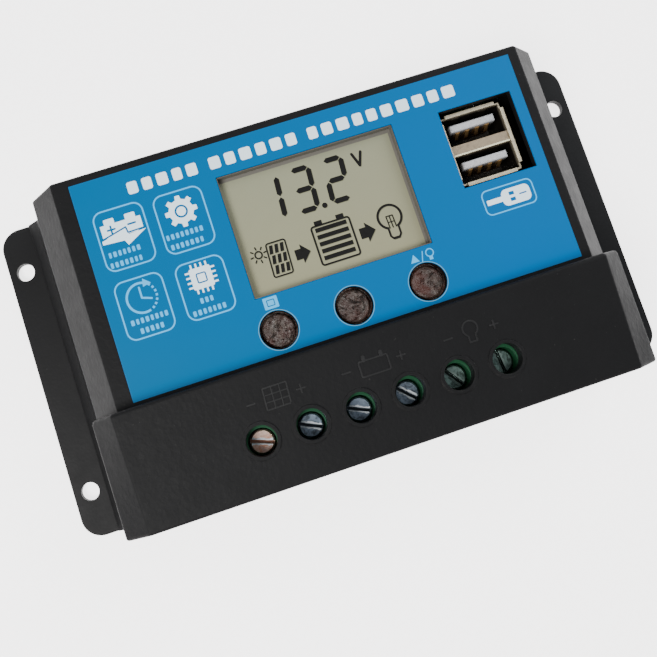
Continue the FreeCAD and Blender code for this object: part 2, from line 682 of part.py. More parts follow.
def build_terminal(i):
    number = i + 1
    screw = new_body("terminal_screw_%d" % number)
    head_top = d("screw_head_z") + d("screw_head_h")
    r, head, low = d("screw_r"), d("screw_head_r"), d("screw_tip_z")
    point, soft = d("screw_tip_round"), d("screw_head_round")
    revolve(screw, [(ZERO, low), (r - point, low), (r, low + point), (r, d("screw_head_z")),
                    (head, d("screw_head_z")), (head, head_top - soft), (head - soft, head_top),
                    (ZERO, head_top)])
    cut_down(screw, lambda s: centred(s, NIL, NIL, head * 2 + OVER, d("screw_slot_w")),
             head_top, head_top - d("screw_slot_d"))
    screw.Placement = FreeCAD.Placement(Vector(), FreeCAD.Rotation(Vector(0, 0, 1), SLOT_TURNS[i]))

    cage = new_body("terminal_cage_%d" % number)
    half_w, half_d = d("cage_w") / 2, d("cage_d") / 2
    inner = half_w - d("cage_side")
    pad_along_y(cage, lambda s: (rectangle(s, -half_w, half_w, d("cage_z0"), d("cage_z1")),
                                 rectangle(s, -inner, inner, d("cage_z0") + d("cage_floor"),
                                           d("cage_z1") - d("cage_roof"))), -half_d, half_d)
    cut_down(cage, lambda s: circle(s, ZERO, ZERO, d("screw_r") + d("thread_fit")),
             d("cage_z1"), d("cage_z1") - d("cage_roof"))
    round_edges(cage, d("cage_round"), lambda p, e: near(abs(p.x), half_w.value) and near(p.y, 0))

    bar = new_body("terminal_bar_%d" % number)
    sk = sketch(bar, "YZ_Plane", -d("bar_w") / 2)
    top, under = d("bar_z") + d("bar_t"), d("bar_z")
    leg = d("bar_back") - d("bar_t")
    shift = d("term_y")
    polygon(sk, [(d("bar_front") - shift, under), (leg - shift, under), (leg - shift, d("bar_leg_z")),
                 (d("bar_back") - shift, d("bar_leg_z")), (d("bar_back") - shift, top),
                 (d("bar_front") - shift, top)])
    sweep(bar, "Pad", sk, d("bar_w"))
    for node, body in (("terminal_screw", screw), ("terminal_cage", cage), ("terminal_bar", bar)):
        place(body, term_x(i), d("term_y"))
        keep("%s_%d" % (node, number), body)


# ---------------------------------------------------------------- circuit board
def build_board():
    body = new_body("main_pcb")
    half = d("pcb_x")
    pad_up(body, lambda s: rectangle(s, -half, half, d("pcb_y0"), d("pcb_y1")), d("pcb_z"), PCB_TOP)
    posts = corners(d("post_x"), d("post_y"), d("post_y_front"))
    cut_down(body, lambda s: [circle(s, x, y, d("pcb_screw_r") + d("screw_play")) for x, y in posts],
             PCB_TOP, d("pcb_z"))
    slack = d("board_slot_slack")
    slot_half = d("bar_w") / 2 + slack

    def leg_slots(s):
        for i in range(TERMINALS):
            rectangle(s, term_x(i) - slot_half, term_x(i) + slot_half,
                      d("bar_back") - d("bar_t") - slack, d("bar_back") + slack)

    cut_down(body, leg_slots, PCB_TOP, d("pcb_z"))
    edge = d("lcd_y") + d("glass_d") / 2
    reach = d("pin_pitch") * ((PINS - 1) / 2) + d("pin_slot_end")
    cut_down(body, lambda s: rectangle(s, d("lcd_x") - reach, d("lcd_x") + reach,
                                       edge - d("pin_slot_front"),
                                       edge + d("pin_t") + d("pin_slot_back")), PCB_TOP, d("pcb_z"))
    keep("main_pcb", body)

    screws = new_body("pcb_screws")
    pad_up(screws, lambda s: [circle(s, x, y, d("pcb_screw_r")) for x, y in posts],
           d("pcb_screw_tip"), PCB_TOP)
    pad_up(screws, lambda s: [circle(s, x, y, d("pcb_screw_head_r")) for x, y in posts],
           PCB_TOP, PCB_TOP + d("pcb_screw_head_h"))
    head_top, long, short = PCB_TOP + d("pcb_screw_head_h"), d("pcb_cross_l"), d("pcb_cross_w")
    for w, h in ((long, short), (short, long)):
        cut_down(screws, lambda s: [centred(s, x, y, w, h) for x, y in posts],
                 head_top, head_top - d("pcb_cross_d"))
    keep("pcb_screws", screws)


# ---------------------------------------------------------------- USB sockets
def port_y(n):
    return d("usb_step") * (0.5 - n)


def build_lips(shell):
    """Four lips bent outwards at the mouth of the shell, one on each side."""
    in_x, in_y = d("usb_w") / 2 - d("usb_wall"), d("usb_d") / 2 - d("usb_wall")
    out_x, out_y = d("usb_w") / 2 + d("lip_out"), d("usb_d") / 2 + d("lip_out")
    lx, ly = d("lip_half_x"), d("lip_half_y")

    def lips(s):
        rectangle(s, -lx, lx, in_y, out_y)
        rectangle(s, -lx, lx, -out_y, -in_y)
        rectangle(s, in_x, out_x, -ly, ly)
        rectangle(s, -out_x, -in_x, -ly, ly)

    pad_up(shell, lips, d("lip_z"), d("usb_top"))


def build_usb():
    w, h, t = d("usb_w"), d("usb_d"), d("usb_wall")
    shell = new_body("usb_shell")
    pad_up(shell, lambda s: (centred(s, NIL, NIL, w, h),
                             centred(s, NIL, NIL, w - t * 2, h - t * 2)), PCB_TOP, d("lip_z"))
    round_edges(shell, d("usb_corner"),
                lambda p, e: near(abs(p.x), w.value / 2) and near(abs(p.y), h.value / 2))

    build_lips(shell)

    divider = new_body("usb_divider")
    gap, inner, lid = d("usb_gap"), w - t * 2 - d("usb_fit"), d("usb_top") - d("usb_divider_drop")
    pad_up(divider, lambda s: centred(s, NIL, NIL, inner, gap), d("usb_core_top"), lid)
    cut_down(divider, lambda s: centred(s, NIL, NIL, inner + OVER, gap - t * 2),
             lid - t, d("usb_core_top"))

    core = new_body("usb_insulator")
    pad_up(core, lambda s: centred(s, NIL, NIL, inner, h - t * 2 - d("usb_fit")),
           PCB_TOP, d("usb_core_top"))
    pad_up(core, lambda s: [centred(s, NIL, port_y(n) + d("tongue_shift"), d("tongue_w"), d("tongue_t"))
                            for n in (0, 1)], d("usb_core_top"), d("tongue_top"))
    round_edges(core, d("tongue_round"), lambda p, e: near(p.z, DIMS["tongue_top"]))

    contacts = new_body("usb_contacts")

    def strips(s):
        for n in (0, 1):
            face = port_y(n) + d("tongue_shift") - d("tongue_t") / 2 - d("contact_clear")
            for k in range(4):
                x = row_x(d("contact_pitch"), k, 4)
                rectangle(s, x - d("contact_w") / 2, x + d("contact_w") / 2, face - d("contact_t"), face)

    pad_up(contacts, strips, d("usb_core_top") + d("contact_clear"), d("contact_top"))
    for node, body in (("usb_shell", shell), ("usb_divider", divider), ("usb_insulator", core),
                       ("usb_contacts", contacts)):
        place(body, d("port_x"), d("port_y"))
        keep(node, body)


# ---------------------------------------------------------------- power and control parts
def build_power():
    plate = new_body("heat_plate")
    spread_top = PLATE_TOP + d("spread_t")
    pad_top = spread_top + d("pad_t")
    half = d("plate_w") / 2
    pad_up(plate, lambda s: rectangle(s, -half, half, d("plate_y0"), d("plate_y1")), PLATE_TOP, spread_top)
    keep("heat_plate", plate)
    film = new_body("thermal_pad")
    margin = d("pad_margin")
    pad_up(film, lambda s: rectangle(s, margin - half, half - margin, d("plate_y0") + margin,
                                     d("plate_y1") - d("pad_margin_back")),
           spread_top, pad_top)
    keep("thermal_pad", film)
    for i in range(FETS):
        build_fet(i, pad_top)


def build_fet(i, under):
    """A flat power transistor on the back of the board: moulding, metal tab and two legs."""
    body = new_body("mosfet_%d" % (i + 1))
    w, h, lead, board = d("fet_w"), d("fet_d"), d("fet_lead"), d("pcb_z")
    top = board - d("fet_gap")
    pad_up(body, lambda s: centred(s, NIL, NIL, w, h), under, top)
    round_edges(body, d("fet_round"), lambda p, e: near(p.z, top.value))
    inset = d("fet_tab_in")
    pad_up(body, lambda s: rectangle(s, inset - w / 2, w / 2 - inset, h / 2, h / 2 + d("fet_tab_l")),
           under, under + d("fet_tab_t"))
    half, tip = d("fet_leg_half"), -h / 2 - lead
    legs = [w / 4, -w / 4]
    knee = board - d("fet_leg_high")
    pad_up(body, lambda s: [rectangle(s, x - half, x + half, tip, -h / 2) for x in legs],
           board - d("fet_leg_low"), knee)
    pad_up(body, lambda s: [rectangle(s, x - half, x + half, tip, tip + d("fet_foot")) for x in legs],
           knee, board)
    place(body, row_x(d("fet_pitch"), i, FETS), d("fet_y"))
    keep("mosfet_%d" % (i + 1), body)


def build_components():
    for i in range(2):
        can = new_body("capacitor_%d" % (i + 1))
        r, top, soft = d("cap_can_r"), PCB_TOP + d("cap_can_h"), d("cap_can_round")
        groove = PCB_TOP + d("cap_can_groove")
        revolve(can, [(ZERO, PCB_TOP), (r - soft, PCB_TOP), (r, PCB_TOP + soft), (r, groove),
                      (r - soft, groove + soft), (r, groove + soft * 2), (r, top - soft),
                      (r - soft, top), (ZERO, top)])
        place(can, d("cap_can_x"), d("cap_can_y") + d("cap_can_pitch") * (i - 0.5))
        keep("capacitor_%d" % (i + 1), can)

    core = new_body("inductor_core")
    rf, rc, t = d("coil_flange_r"), d("coil_core_r"), d("coil_flange_t")
    top = PCB_TOP + d("coil_h")
    revolve(core, [(ZERO, PCB_TOP), (rf, PCB_TOP), (rf, PCB_TOP + t), (rc, PCB_TOP + t), (rc, top - t),
                   (rf, top - t), (rf, top), (ZERO, top)])
    coil, gap = new_body("inductor_coil"), d("coil_clear")
    pad_up(coil, lambda s: (circle(s, ZERO, ZERO, d("coil_wire_r")), circle(s, ZERO, ZERO, rc + gap)),
           PCB_TOP + t + gap, top - t - gap)
    for node, body in (("inductor_core", core), ("inductor_coil", coil)):
        place(body, d("coil_x"), d("coil_y"))
        keep(node, body)

    chip = new_body("control_chip")
    w, lead, t = d("chip_w"), d("chip_lead"), d("chip_t")
    lift = PCB_TOP + d("chip_gap")
    pad_up(chip, lambda s: centred(s, NIL, NIL, w, w), lift, lift + t)
    span, half = w / 2 + lead, d("chip_lead_half")
    pitch = (w - d("chip_corner") * 2) / (CHIP_LEADS - 1)

    def leads(s):
        for k in range(CHIP_LEADS):
            x = row_x(pitch, k, CHIP_LEADS)
            rectangle(s, x - half, x + half, w / 2, span)
            rectangle(s, x - half, x + half, -span, -w / 2)
            rectangle(s, w / 2, span, x - half, x + half)
            rectangle(s, -span, -w / 2, x - half, x + half)

    pad_up(chip, leads, PCB_TOP, PCB_TOP + d("chip_lead_t"))
    place(chip, d("chip_x"), d("chip_y"))
    keep("control_chip", chip)


# ---------------------------------------------------------------- build, check, write
def check_document():
    for obj in doc.Objects:
        bad = [state for state in obj.State if state in ("Invalid", "Error")]
        if bad:
            raise RuntimeError("%s is %s" % (obj.Name, bad))
    for node, obj in NODES.items():
        shape = obj.Shape
        if shape.isNull() or not shape.isValid() or not shape.Solids:
            raise RuntimeError("%s has no valid solid" % node)


build_base()
build_case()
build_case_screws()
build_label()
build_display()
for button in range(BUTTONS):
    build_button(button)
build_block()
for terminal in range(TERMINALS):
    build_terminal(terminal)
build_board()
build_usb()
build_power()
build_components()
doc.recompute()
check_document()

os.makedirs("parts", exist_ok=True)
for node, obj in NODES.items():
    obj.Shape.exportStep("parts/%s.step" % node)
    print("%-18s solids %d  volume %.2f" % (node, len(obj.Shape.Solids), obj.Shape.Volume))
print(len(NODES), "nodes")
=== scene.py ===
import math
import random
import bpy
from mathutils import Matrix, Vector


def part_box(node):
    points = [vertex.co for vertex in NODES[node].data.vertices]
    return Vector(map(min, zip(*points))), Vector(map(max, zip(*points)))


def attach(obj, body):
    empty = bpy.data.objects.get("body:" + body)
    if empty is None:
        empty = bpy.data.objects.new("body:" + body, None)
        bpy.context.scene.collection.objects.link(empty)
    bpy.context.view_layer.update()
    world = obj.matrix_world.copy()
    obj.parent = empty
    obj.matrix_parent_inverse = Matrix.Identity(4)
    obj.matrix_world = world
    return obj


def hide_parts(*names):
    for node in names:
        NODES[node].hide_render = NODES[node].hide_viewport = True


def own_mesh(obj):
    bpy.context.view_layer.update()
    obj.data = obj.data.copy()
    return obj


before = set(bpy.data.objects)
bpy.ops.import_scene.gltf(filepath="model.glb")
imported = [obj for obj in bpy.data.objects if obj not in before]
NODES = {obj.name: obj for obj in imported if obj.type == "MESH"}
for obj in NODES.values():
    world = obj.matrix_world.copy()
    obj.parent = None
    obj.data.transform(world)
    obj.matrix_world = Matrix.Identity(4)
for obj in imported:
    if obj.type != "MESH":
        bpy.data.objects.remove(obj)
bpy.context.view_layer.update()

MM = 0.001
rng = random.Random(7)


# ------------------------------------------------------------------ material helper
class Shade:
    """A procedural material: short calls that add and link nodes of its tree."""

    def __init__(self, name):
        self.mat = bpy.data.materials.new(name)
        self.mat.use_nodes = True
        self.tree = self.mat.node_tree
        self.tree.nodes.clear()
        self.out = self.add("ShaderNodeOutputMaterial")
        self.bsdf = self.add("ShaderNodeBsdfPrincipled")
        self.tree.links.new(self.bsdf.outputs[0], self.out.inputs[0])
        self.place = self.add("ShaderNodeTexCoord").outputs["Object"]

    def add(self, kind, **settings):
        node = self.tree.nodes.new(kind)
        for key, value in settings.items():
            setattr(node, key, value)
        return node

    def put(self, socket, value):
        """Link a node output to a socket, or set the socket's own value."""
        if isinstance(value, bpy.types.NodeSocket):
            self.tree.links.new(value, socket)
        elif hasattr(socket.default_value, "__len__") and isinstance(value, (tuple, list)):
            socket.default_value = tuple(value) + (1.0,) * (len(socket.default_value) - len(value))
        else:
            socket.default_value = value

    def set(self, **inputs):
        for key, value in inputs.items():
            self.put(self.bsdf.inputs[key.replace("_", " ")], value)
        return self

    def stretch(self, x, y, z, turn=0.0):
        """Object coordinates scaled along the axes, for brushed or drawn grain."""
        node = self.add("ShaderNodeMapping")
        self.put(node.inputs["Vector"], self.place)
        node.inputs["Scale"].default_value = (x, y, z)
        node.inputs["Rotation"].default_value = (0, 0, math.radians(turn))
        return node.outputs[0]

    def noise(self, size_mm, detail=3.0, rough=0.55, vector=None, warp=0.0):
        node = self.add("ShaderNodeTexNoise")
        self.put(node.inputs["Vector"], vector or self.place)
        node.inputs["Scale"].default_value = 1.0 / (size_mm * MM)
        node.inputs["Detail"].default_value = detail
        node.inputs["Roughness"].default_value = rough
        node.inputs["Distortion"].default_value = warp
        return node.outputs[0]

    def cells(self, size_mm, feature="F1"):
        node = self.add("ShaderNodeTexVoronoi", feature=feature)
        self.put(node.inputs["Vector"], self.place)
        node.inputs["Scale"].default_value = 1.0 / (size_mm * MM)
        return node.outputs["Distance"]

    def remap(self, value, a, b, low=0.0, high=1.0):
        node = self.add("ShaderNodeMapRange")
        node.clamp = True
        self.put(node.inputs["Value"], value)
        for key, v in (("From Min", a), ("From Max", b), ("To Min", low), ("To Max", high)):
            node.inputs[key].default_value = v
        return node.outputs["Result"]

    def calc(self, op, a, b):
        node = self.add("ShaderNodeMath", operation=op)
        self.put(node.inputs[0], a)
        self.put(node.inputs[1], b)
        return node.outputs[0]

    def mix(self, factor, a, b):
        node = self.add("ShaderNodeMix", data_type="RGBA")
        self.put(node.inputs["Factor"], factor)
        self.put([s for s in node.inputs if s.name == "A" and s.type == "RGBA"][0], a)
        self.put([s for s in node.inputs if s.name == "B" and s.type == "RGBA"][0], b)
        return [s for s in node.outputs if s.type == "RGBA"][0]

    def axis(self, name):
        node = self.add("ShaderNodeSeparateXYZ")
        self.put(node.inputs[0], self.place)
        return node.outputs[name]

    def rounded(self, radius_mm):
        node = self.add("ShaderNodeBevel", samples=4)
        node.inputs["Radius"].default_value = radius_mm * MM
        return node.outputs[0]

    def edges(self, radius_mm, gain=6.0):
        """1 along outer and inner edges, 0 on flat areas."""
        geometry = self.add("ShaderNodeNewGeometry")
        dot = self.add("ShaderNodeVectorMath", operation="DOT_PRODUCT")
        self.put(dot.inputs[0], self.rounded(radius_mm))
        self.put(dot.inputs[1], geometry.outputs["Normal"])
        return self.remap(dot.outputs["Value"], 1.0, 1.0 - 1.0 / gain)

    def bump(self, height, depth_mm, strength=1.0, normal=None):
        node = self.add("ShaderNodeBump")
        node.inputs["Strength"].default_value = strength
        node.inputs["Distance"].default_value = depth_mm * MM
        self.put(node.inputs["Height"], height)
        if normal is not None:
            self.put(node.inputs["Normal"], normal)
        return node.outputs[0]


# Y in metres over which painted shade darkens the terminal block's green, from its front face back into its
# screw wells
WELL_SHADE_SPAN = (-0.0365, -0.0345)


def plastic(name, colour, rough=0.5, grain_mm=0.35, grain_depth=0.012, blotch=0.12, wear=0.25,
            dust=0.0, coat=0.0, bevel_mm=0.3, specular=0.5, wear_colour=None, inner=None):
    """Moulded plastic: slow colour drift, fine spark-eroded grain, worn edges and a little dust. An inner
    colour is painted shade, darker back from the front face into the terminal wells.
    """
    s = Shade(name)
    dark = tuple(c * (1 - blotch) for c in colour)
    light = tuple(min(1.0, c * (1 + blotch)) for c in colour)
    base = s.mix(s.noise(17, 4), dark, light)
    # inner: painted shade, darkening the colour back from the front face into the wells
    if inner:
        base = s.mix(s.remap(s.axis("Y"), *WELL_SHADE_SPAN), base, inner)
    worn = wear_colour or tuple(min(1.0, c * 1.9 + 0.035) for c in colour)
    scuffs = s.remap(s.noise(2.2, 5, 0.7), 0.42, 0.68)
    rubbed = s.calc("MULTIPLY", s.edges(bevel_mm * 1.3), s.calc("MULTIPLY", scuffs, wear))
    base = s.mix(rubbed, base, worn)
    if dust:
        specks = s.remap(s.noise(0.8, 6, 0.75), 0.66, 0.74, 0.0, dust)
        base = s.mix(specks, base, (0.45, 0.44, 0.42))
    low = s.remap(s.noise(5, 5, 0.65), 0.3, 0.7, rough - 0.04, rough + 0.05)
    grain = s.calc("ADD", s.noise(grain_mm, 2), s.calc("MULTIPLY", s.cells(grain_mm * 1.7), 0.6))
    normal = s.bump(grain, grain_depth, 0.8, s.rounded(bevel_mm))
    s.set(Base_Color=base, Roughness=low, Normal=normal, Specular_IOR_Level=specular)
    if coat:
        s.set(Coat_Weight=coat, Coat_Roughness=0.12)
    return s.mat


METAL_EDGE = 0.12       # softened edge radius, mm
METAL_PITS = 0.006      # depth of the drawn grain, mm


def metal(name, colour, rough=0.3, brush=(1, 1, 1), turn=0.0, stain=0.2):
    """Plated or drawn metal: directional scratches, dull stains and softened edges."""
    s = Shade(name)
    grain = s.noise(0.18, 4, 0.65, s.stretch(*brush, turn=turn))
    blot = s.remap(s.noise(2.6, 5, 0.65), 0.4, 0.72, 0.0, stain)
    dull = tuple(c * 0.45 for c in colour)
    base = s.mix(blot, s.mix(grain, tuple(c * 0.86 for c in colour), colour), dull)
    value = s.calc("ADD", s.remap(grain, 0.3, 0.7, rough - 0.08, rough + 0.12),
                   s.calc("MULTIPLY", blot, 0.35))
    s.set(Base_Color=base, Metallic=1.0, Roughness=value,
          Normal=s.bump(grain, METAL_PITS, 0.7, s.rounded(METAL_EDGE)))
    return s.mat


# ------------------------------------------------------------------ materials
def make_label_blue():
    """Printed film: the blue drifts from duller at the left to stronger at the right."""
    s = Shade("label_blue")
    across = s.remap(s.axis("X"), -0.052, 0.05)
    base = s.mix(across, (0.0, 0.108, 0.270), (0.0, 0.112, 0.330))
    base = s.mix(s.remap(s.noise(14, 4), 0.35, 0.7, 0.0, 0.3), base, (0.0, 0.118, 0.285))
    low = s.remap(s.calc("ADD", s.axis("Y"), s.calc("MULTIPLY", s.axis("X"), 0.4)), -0.010, -0.034, 0.0, 0.5)
    base = s.mix(low, base, (0.012, 0.110, 0.240))
    hair = s.noise(0.5, 3, 0.6, s.stretch(1, 14, 1, 24))
    scratches = s.remap(hair, 0.70, 0.80, 0.0, 0.10)
    base = s.mix(scratches, base, (0.10, 0.30, 0.50))
    rough = s.remap(s.noise(6, 5, 0.65), 0.3, 0.75, 0.42, 0.58)
    weave = s.calc("ADD", s.noise(0.30, 2), s.calc("MULTIPLY", s.noise(5.0, 2), 2.0))
    s.set(Base_Color=base, Roughness=rough, Normal=s.bump(weave, 0.008, 0.6, s.rounded(0.15)),
          Specular_IOR_Level=0.05)
    return s.mat


def make_ink(name, colour, rough=0.45, patch=0.18, glow=0.0, glow_colour=(0.86, 0.95, 1.0)):
    """Screen-printed ink with slightly uneven cover; a glow, where given, is painted light that makes the
    ink brighter than the lamps do.
    """
    s = Shade(name)
    thin = s.remap(s.noise(0.45, 4, 0.7), 0.35, 0.75, 0.0, patch)
    base = s.mix(thin, colour, tuple(c * 0.72 for c in colour))
    s.set(Base_Color=base, Roughness=s.remap(s.noise(0.9, 3), 0.3, 0.7, rough - 0.06, rough + 0.1),
          Normal=s.bump(s.noise(0.2, 3), 0.006, 0.6), Specular_IOR_Level=0.2)
    # painted light: the ink glows, though it is no lamp
    if glow:
        s.set(Emission_Color=glow_colour, Emission_Strength=glow)
    return s.mat


def make_lcd():
    """Reflective display: grey-green, warmer low down, under a smooth clear front."""
    s = Shade("lcd_cell")
    up = s.remap(s.axis("Y"), -0.001, 0.031)
    base = s.mix(up, (0.262, 0.250, 0.150), (0.238, 0.248, 0.168))
    base = s.mix(s.remap(s.noise(8, 3), 0.3, 0.7, 0.0, 0.5), base, (0.248, 0.246, 0.158))
    speck = s.remap(s.noise(0.16, 2), 0.3, 0.75, 0.0, 0.22)
    base = s.mix(speck, base, (0.20, 0.20, 0.13))
    s.set(Base_Color=base, Roughness=s.remap(s.noise(3, 3), 0.3, 0.7, 0.42, 0.55), Specular_IOR_Level=0.3,
          Coat_Weight=0.35, Coat_Roughness=0.08, Normal=s.bump(s.noise(0.12, 2), 0.004, 0.5))
    return s.mat


def make_button():
    """Push-button cap: red-brown to grey, crumpled by wear, with dark pits and bright glints."""
    s = Shade("button_cap")
    base = s.mix(s.remap(s.noise(3.2, 5, 0.65), 0.38, 0.62), (0.030, 0.009, 0.006), (0.030, 0.022, 0.017))
    base = s.mix(s.remap(s.noise(1.5, 6, 0.7, warp=1.2), 0.52, 0.66, 0.0, 0.8), base, (0.100, 0.078, 0.064))
    pits = s.remap(s.noise(1.7, 5, 0.7, warp=0.8), 0.54, 0.64)
    base = s.mix(pits, base, (0.010, 0.007, 0.006))
    marks = s.remap(s.noise(0.4, 4, 0.7, s.stretch(1, 6, 1, 35)), 0.60, 0.68)
    base = s.mix(s.calc("MULTIPLY", marks, 0.8), base, (0.30, 0.26, 0.235))
    thumb = s.remap(s.noise(7.0, 2, 0.5, warp=0.3), 0.50, 0.62, 0.0, 0.7)
    base = s.mix(thumb, base, (0.050, 0.012, 0.007))
    rim = s.edges(0.35)
    base = s.mix(s.calc("MULTIPLY", rim, 0.45), base, (0.16, 0.125, 0.105))
    rough = s.remap(s.noise(0.8, 5, 0.7), 0.3, 0.7, 0.2, 0.5)
    relief = s.calc("ADD", s.noise(1.3, 5, 0.65, warp=0.8), s.calc("MULTIPLY", pits, -0.7))
    s.set(Base_Color=base, Roughness=rough, Normal=s.bump(relief, 0.30, 1.0, s.rounded(0.3)),
          Specular_IOR_Level=0.42)
    return s.mat


def make_tongue():
    """White socket plastic with grey dust specks, and painted shade that darkens it deeper inside the
    socket.
    """
    s = Shade("socket_plastic")
    # painted shade: the plastic turns dark deeper down inside the socket
    socket_shade = s.remap(s.axis("Z"), 0.0262, 0.0240)
    base = s.mix(s.noise(0.9, 4), (0.42, 0.43, 0.45), (0.52, 0.52, 0.54))
    base = s.mix(socket_shade, base, (0.030, 0.024, 0.020))
    base = s.mix(s.remap(s.noise(0.5, 5, 0.7), 0.52, 0.66, 0.0, 0.5), base, (0.16, 0.15, 0.14))
    s.set(Base_Color=base, Roughness=s.remap(s.noise(1.0, 3), 0.3, 0.7, 0.25, 0.4),
          Normal=s.bump(s.noise(0.4, 3), 0.01, 0.6, s.rounded(0.35)), Specular_IOR_Level=0.5)
    return s.mat


def socket_metal(name, colour, deep_shade, deep_from, deep_to, rough, turn=0.0):
    """Plated sheet, bright at the mouth, with painted shade that turns it dark further into the socket."""
    s = Shade(name)
    grain = s.noise(0.2, 4, 0.65, s.stretch(1, 1, 7, turn))
    base = s.mix(grain, tuple(c * 0.85 for c in colour), colour)
    base = s.mix(s.remap(s.noise(1.6, 5, 0.7), 0.48, 0.66, 0.0, 0.5), base, tuple(c * 0.5 for c in colour))
    # painted shade: darker from deep_from down to deep_to inside the socket
    down = s.remap(s.axis("Z"), deep_from * MM, deep_to * MM)
    base = s.mix(down, base, deep_shade)
    s.set(Base_Color=base, Metallic=0.75, Roughness=s.remap(grain, 0.3, 0.7, rough, rough + 0.2),
          Normal=s.bump(grain, 0.01, 0.7, s.rounded(0.1)))
    return s.mat


def make_screw(name, colour, grime_and_slot_shade):
    """Plated screw head: bright brushed face, grime patches, painted shade down in the slot, and edges
    lightened partly by wear and partly as a painted highlight.
    """
    s = Shade(name)
    grain = s.noise(0.25, 4, 0.65, s.stretch(1, 5, 1, 30))
    base = s.mix(grain, tuple(c * 0.55 for c in colour), colour)
    base = s.mix(s.remap(s.noise(1.3, 5, 0.7, warp=0.5), 0.45, 0.62, 0.0, 0.85), base, grime_and_slot_shade)
    # painted shade: darker down inside the slot
    slot = s.remap(s.axis("Z"), (SCREW_TOP - 0.25) * MM, (SCREW_TOP - 0.9) * MM)
    base = s.mix(slot, base, tuple(c * 0.5 for c in grime_and_slot_shade))
    # lightened edges: partly wear, partly a painted highlight
    edge = s.calc("MULTIPLY", s.edges(0.26, 9), s.remap(s.noise(1.2, 3), 0.3, 0.6, 0.45, 1.0))
    base = s.mix(edge, base, tuple(min(1.0, c * 1.9) for c in colour))
    s.set(Base_Color=base, Metallic=0.85, Roughness=s.remap(s.noise(0.9, 4), 0.3, 0.7, 0.28, 0.5),
          Normal=s.bump(s.noise(0.5, 4, 0.6), 0.04, 0.7, s.rounded(0.18)))
    return s.mat


def make_pcb():
    s = Shade("board_mask")
    lanes = s.remap(s.cells(2.6, "DISTANCE_TO_EDGE"), 0.04, 0.10)
    base = s.mix(lanes, (0.03, 0.16, 0.06), (0.012, 0.085, 0.03))
    s.set(Base_Color=s.mix(s.noise(6, 3), base, (0.015, 0.10, 0.035)),
          Roughness=s.remap(s.noise(1.2, 3), 0.3, 0.7, 0.25, 0.4),
          Normal=s.bump(lanes, 0.03, 0.6, s.rounded(0.1)))
    return s.mat


def top_of(node):
    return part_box(node)[1].z / MM


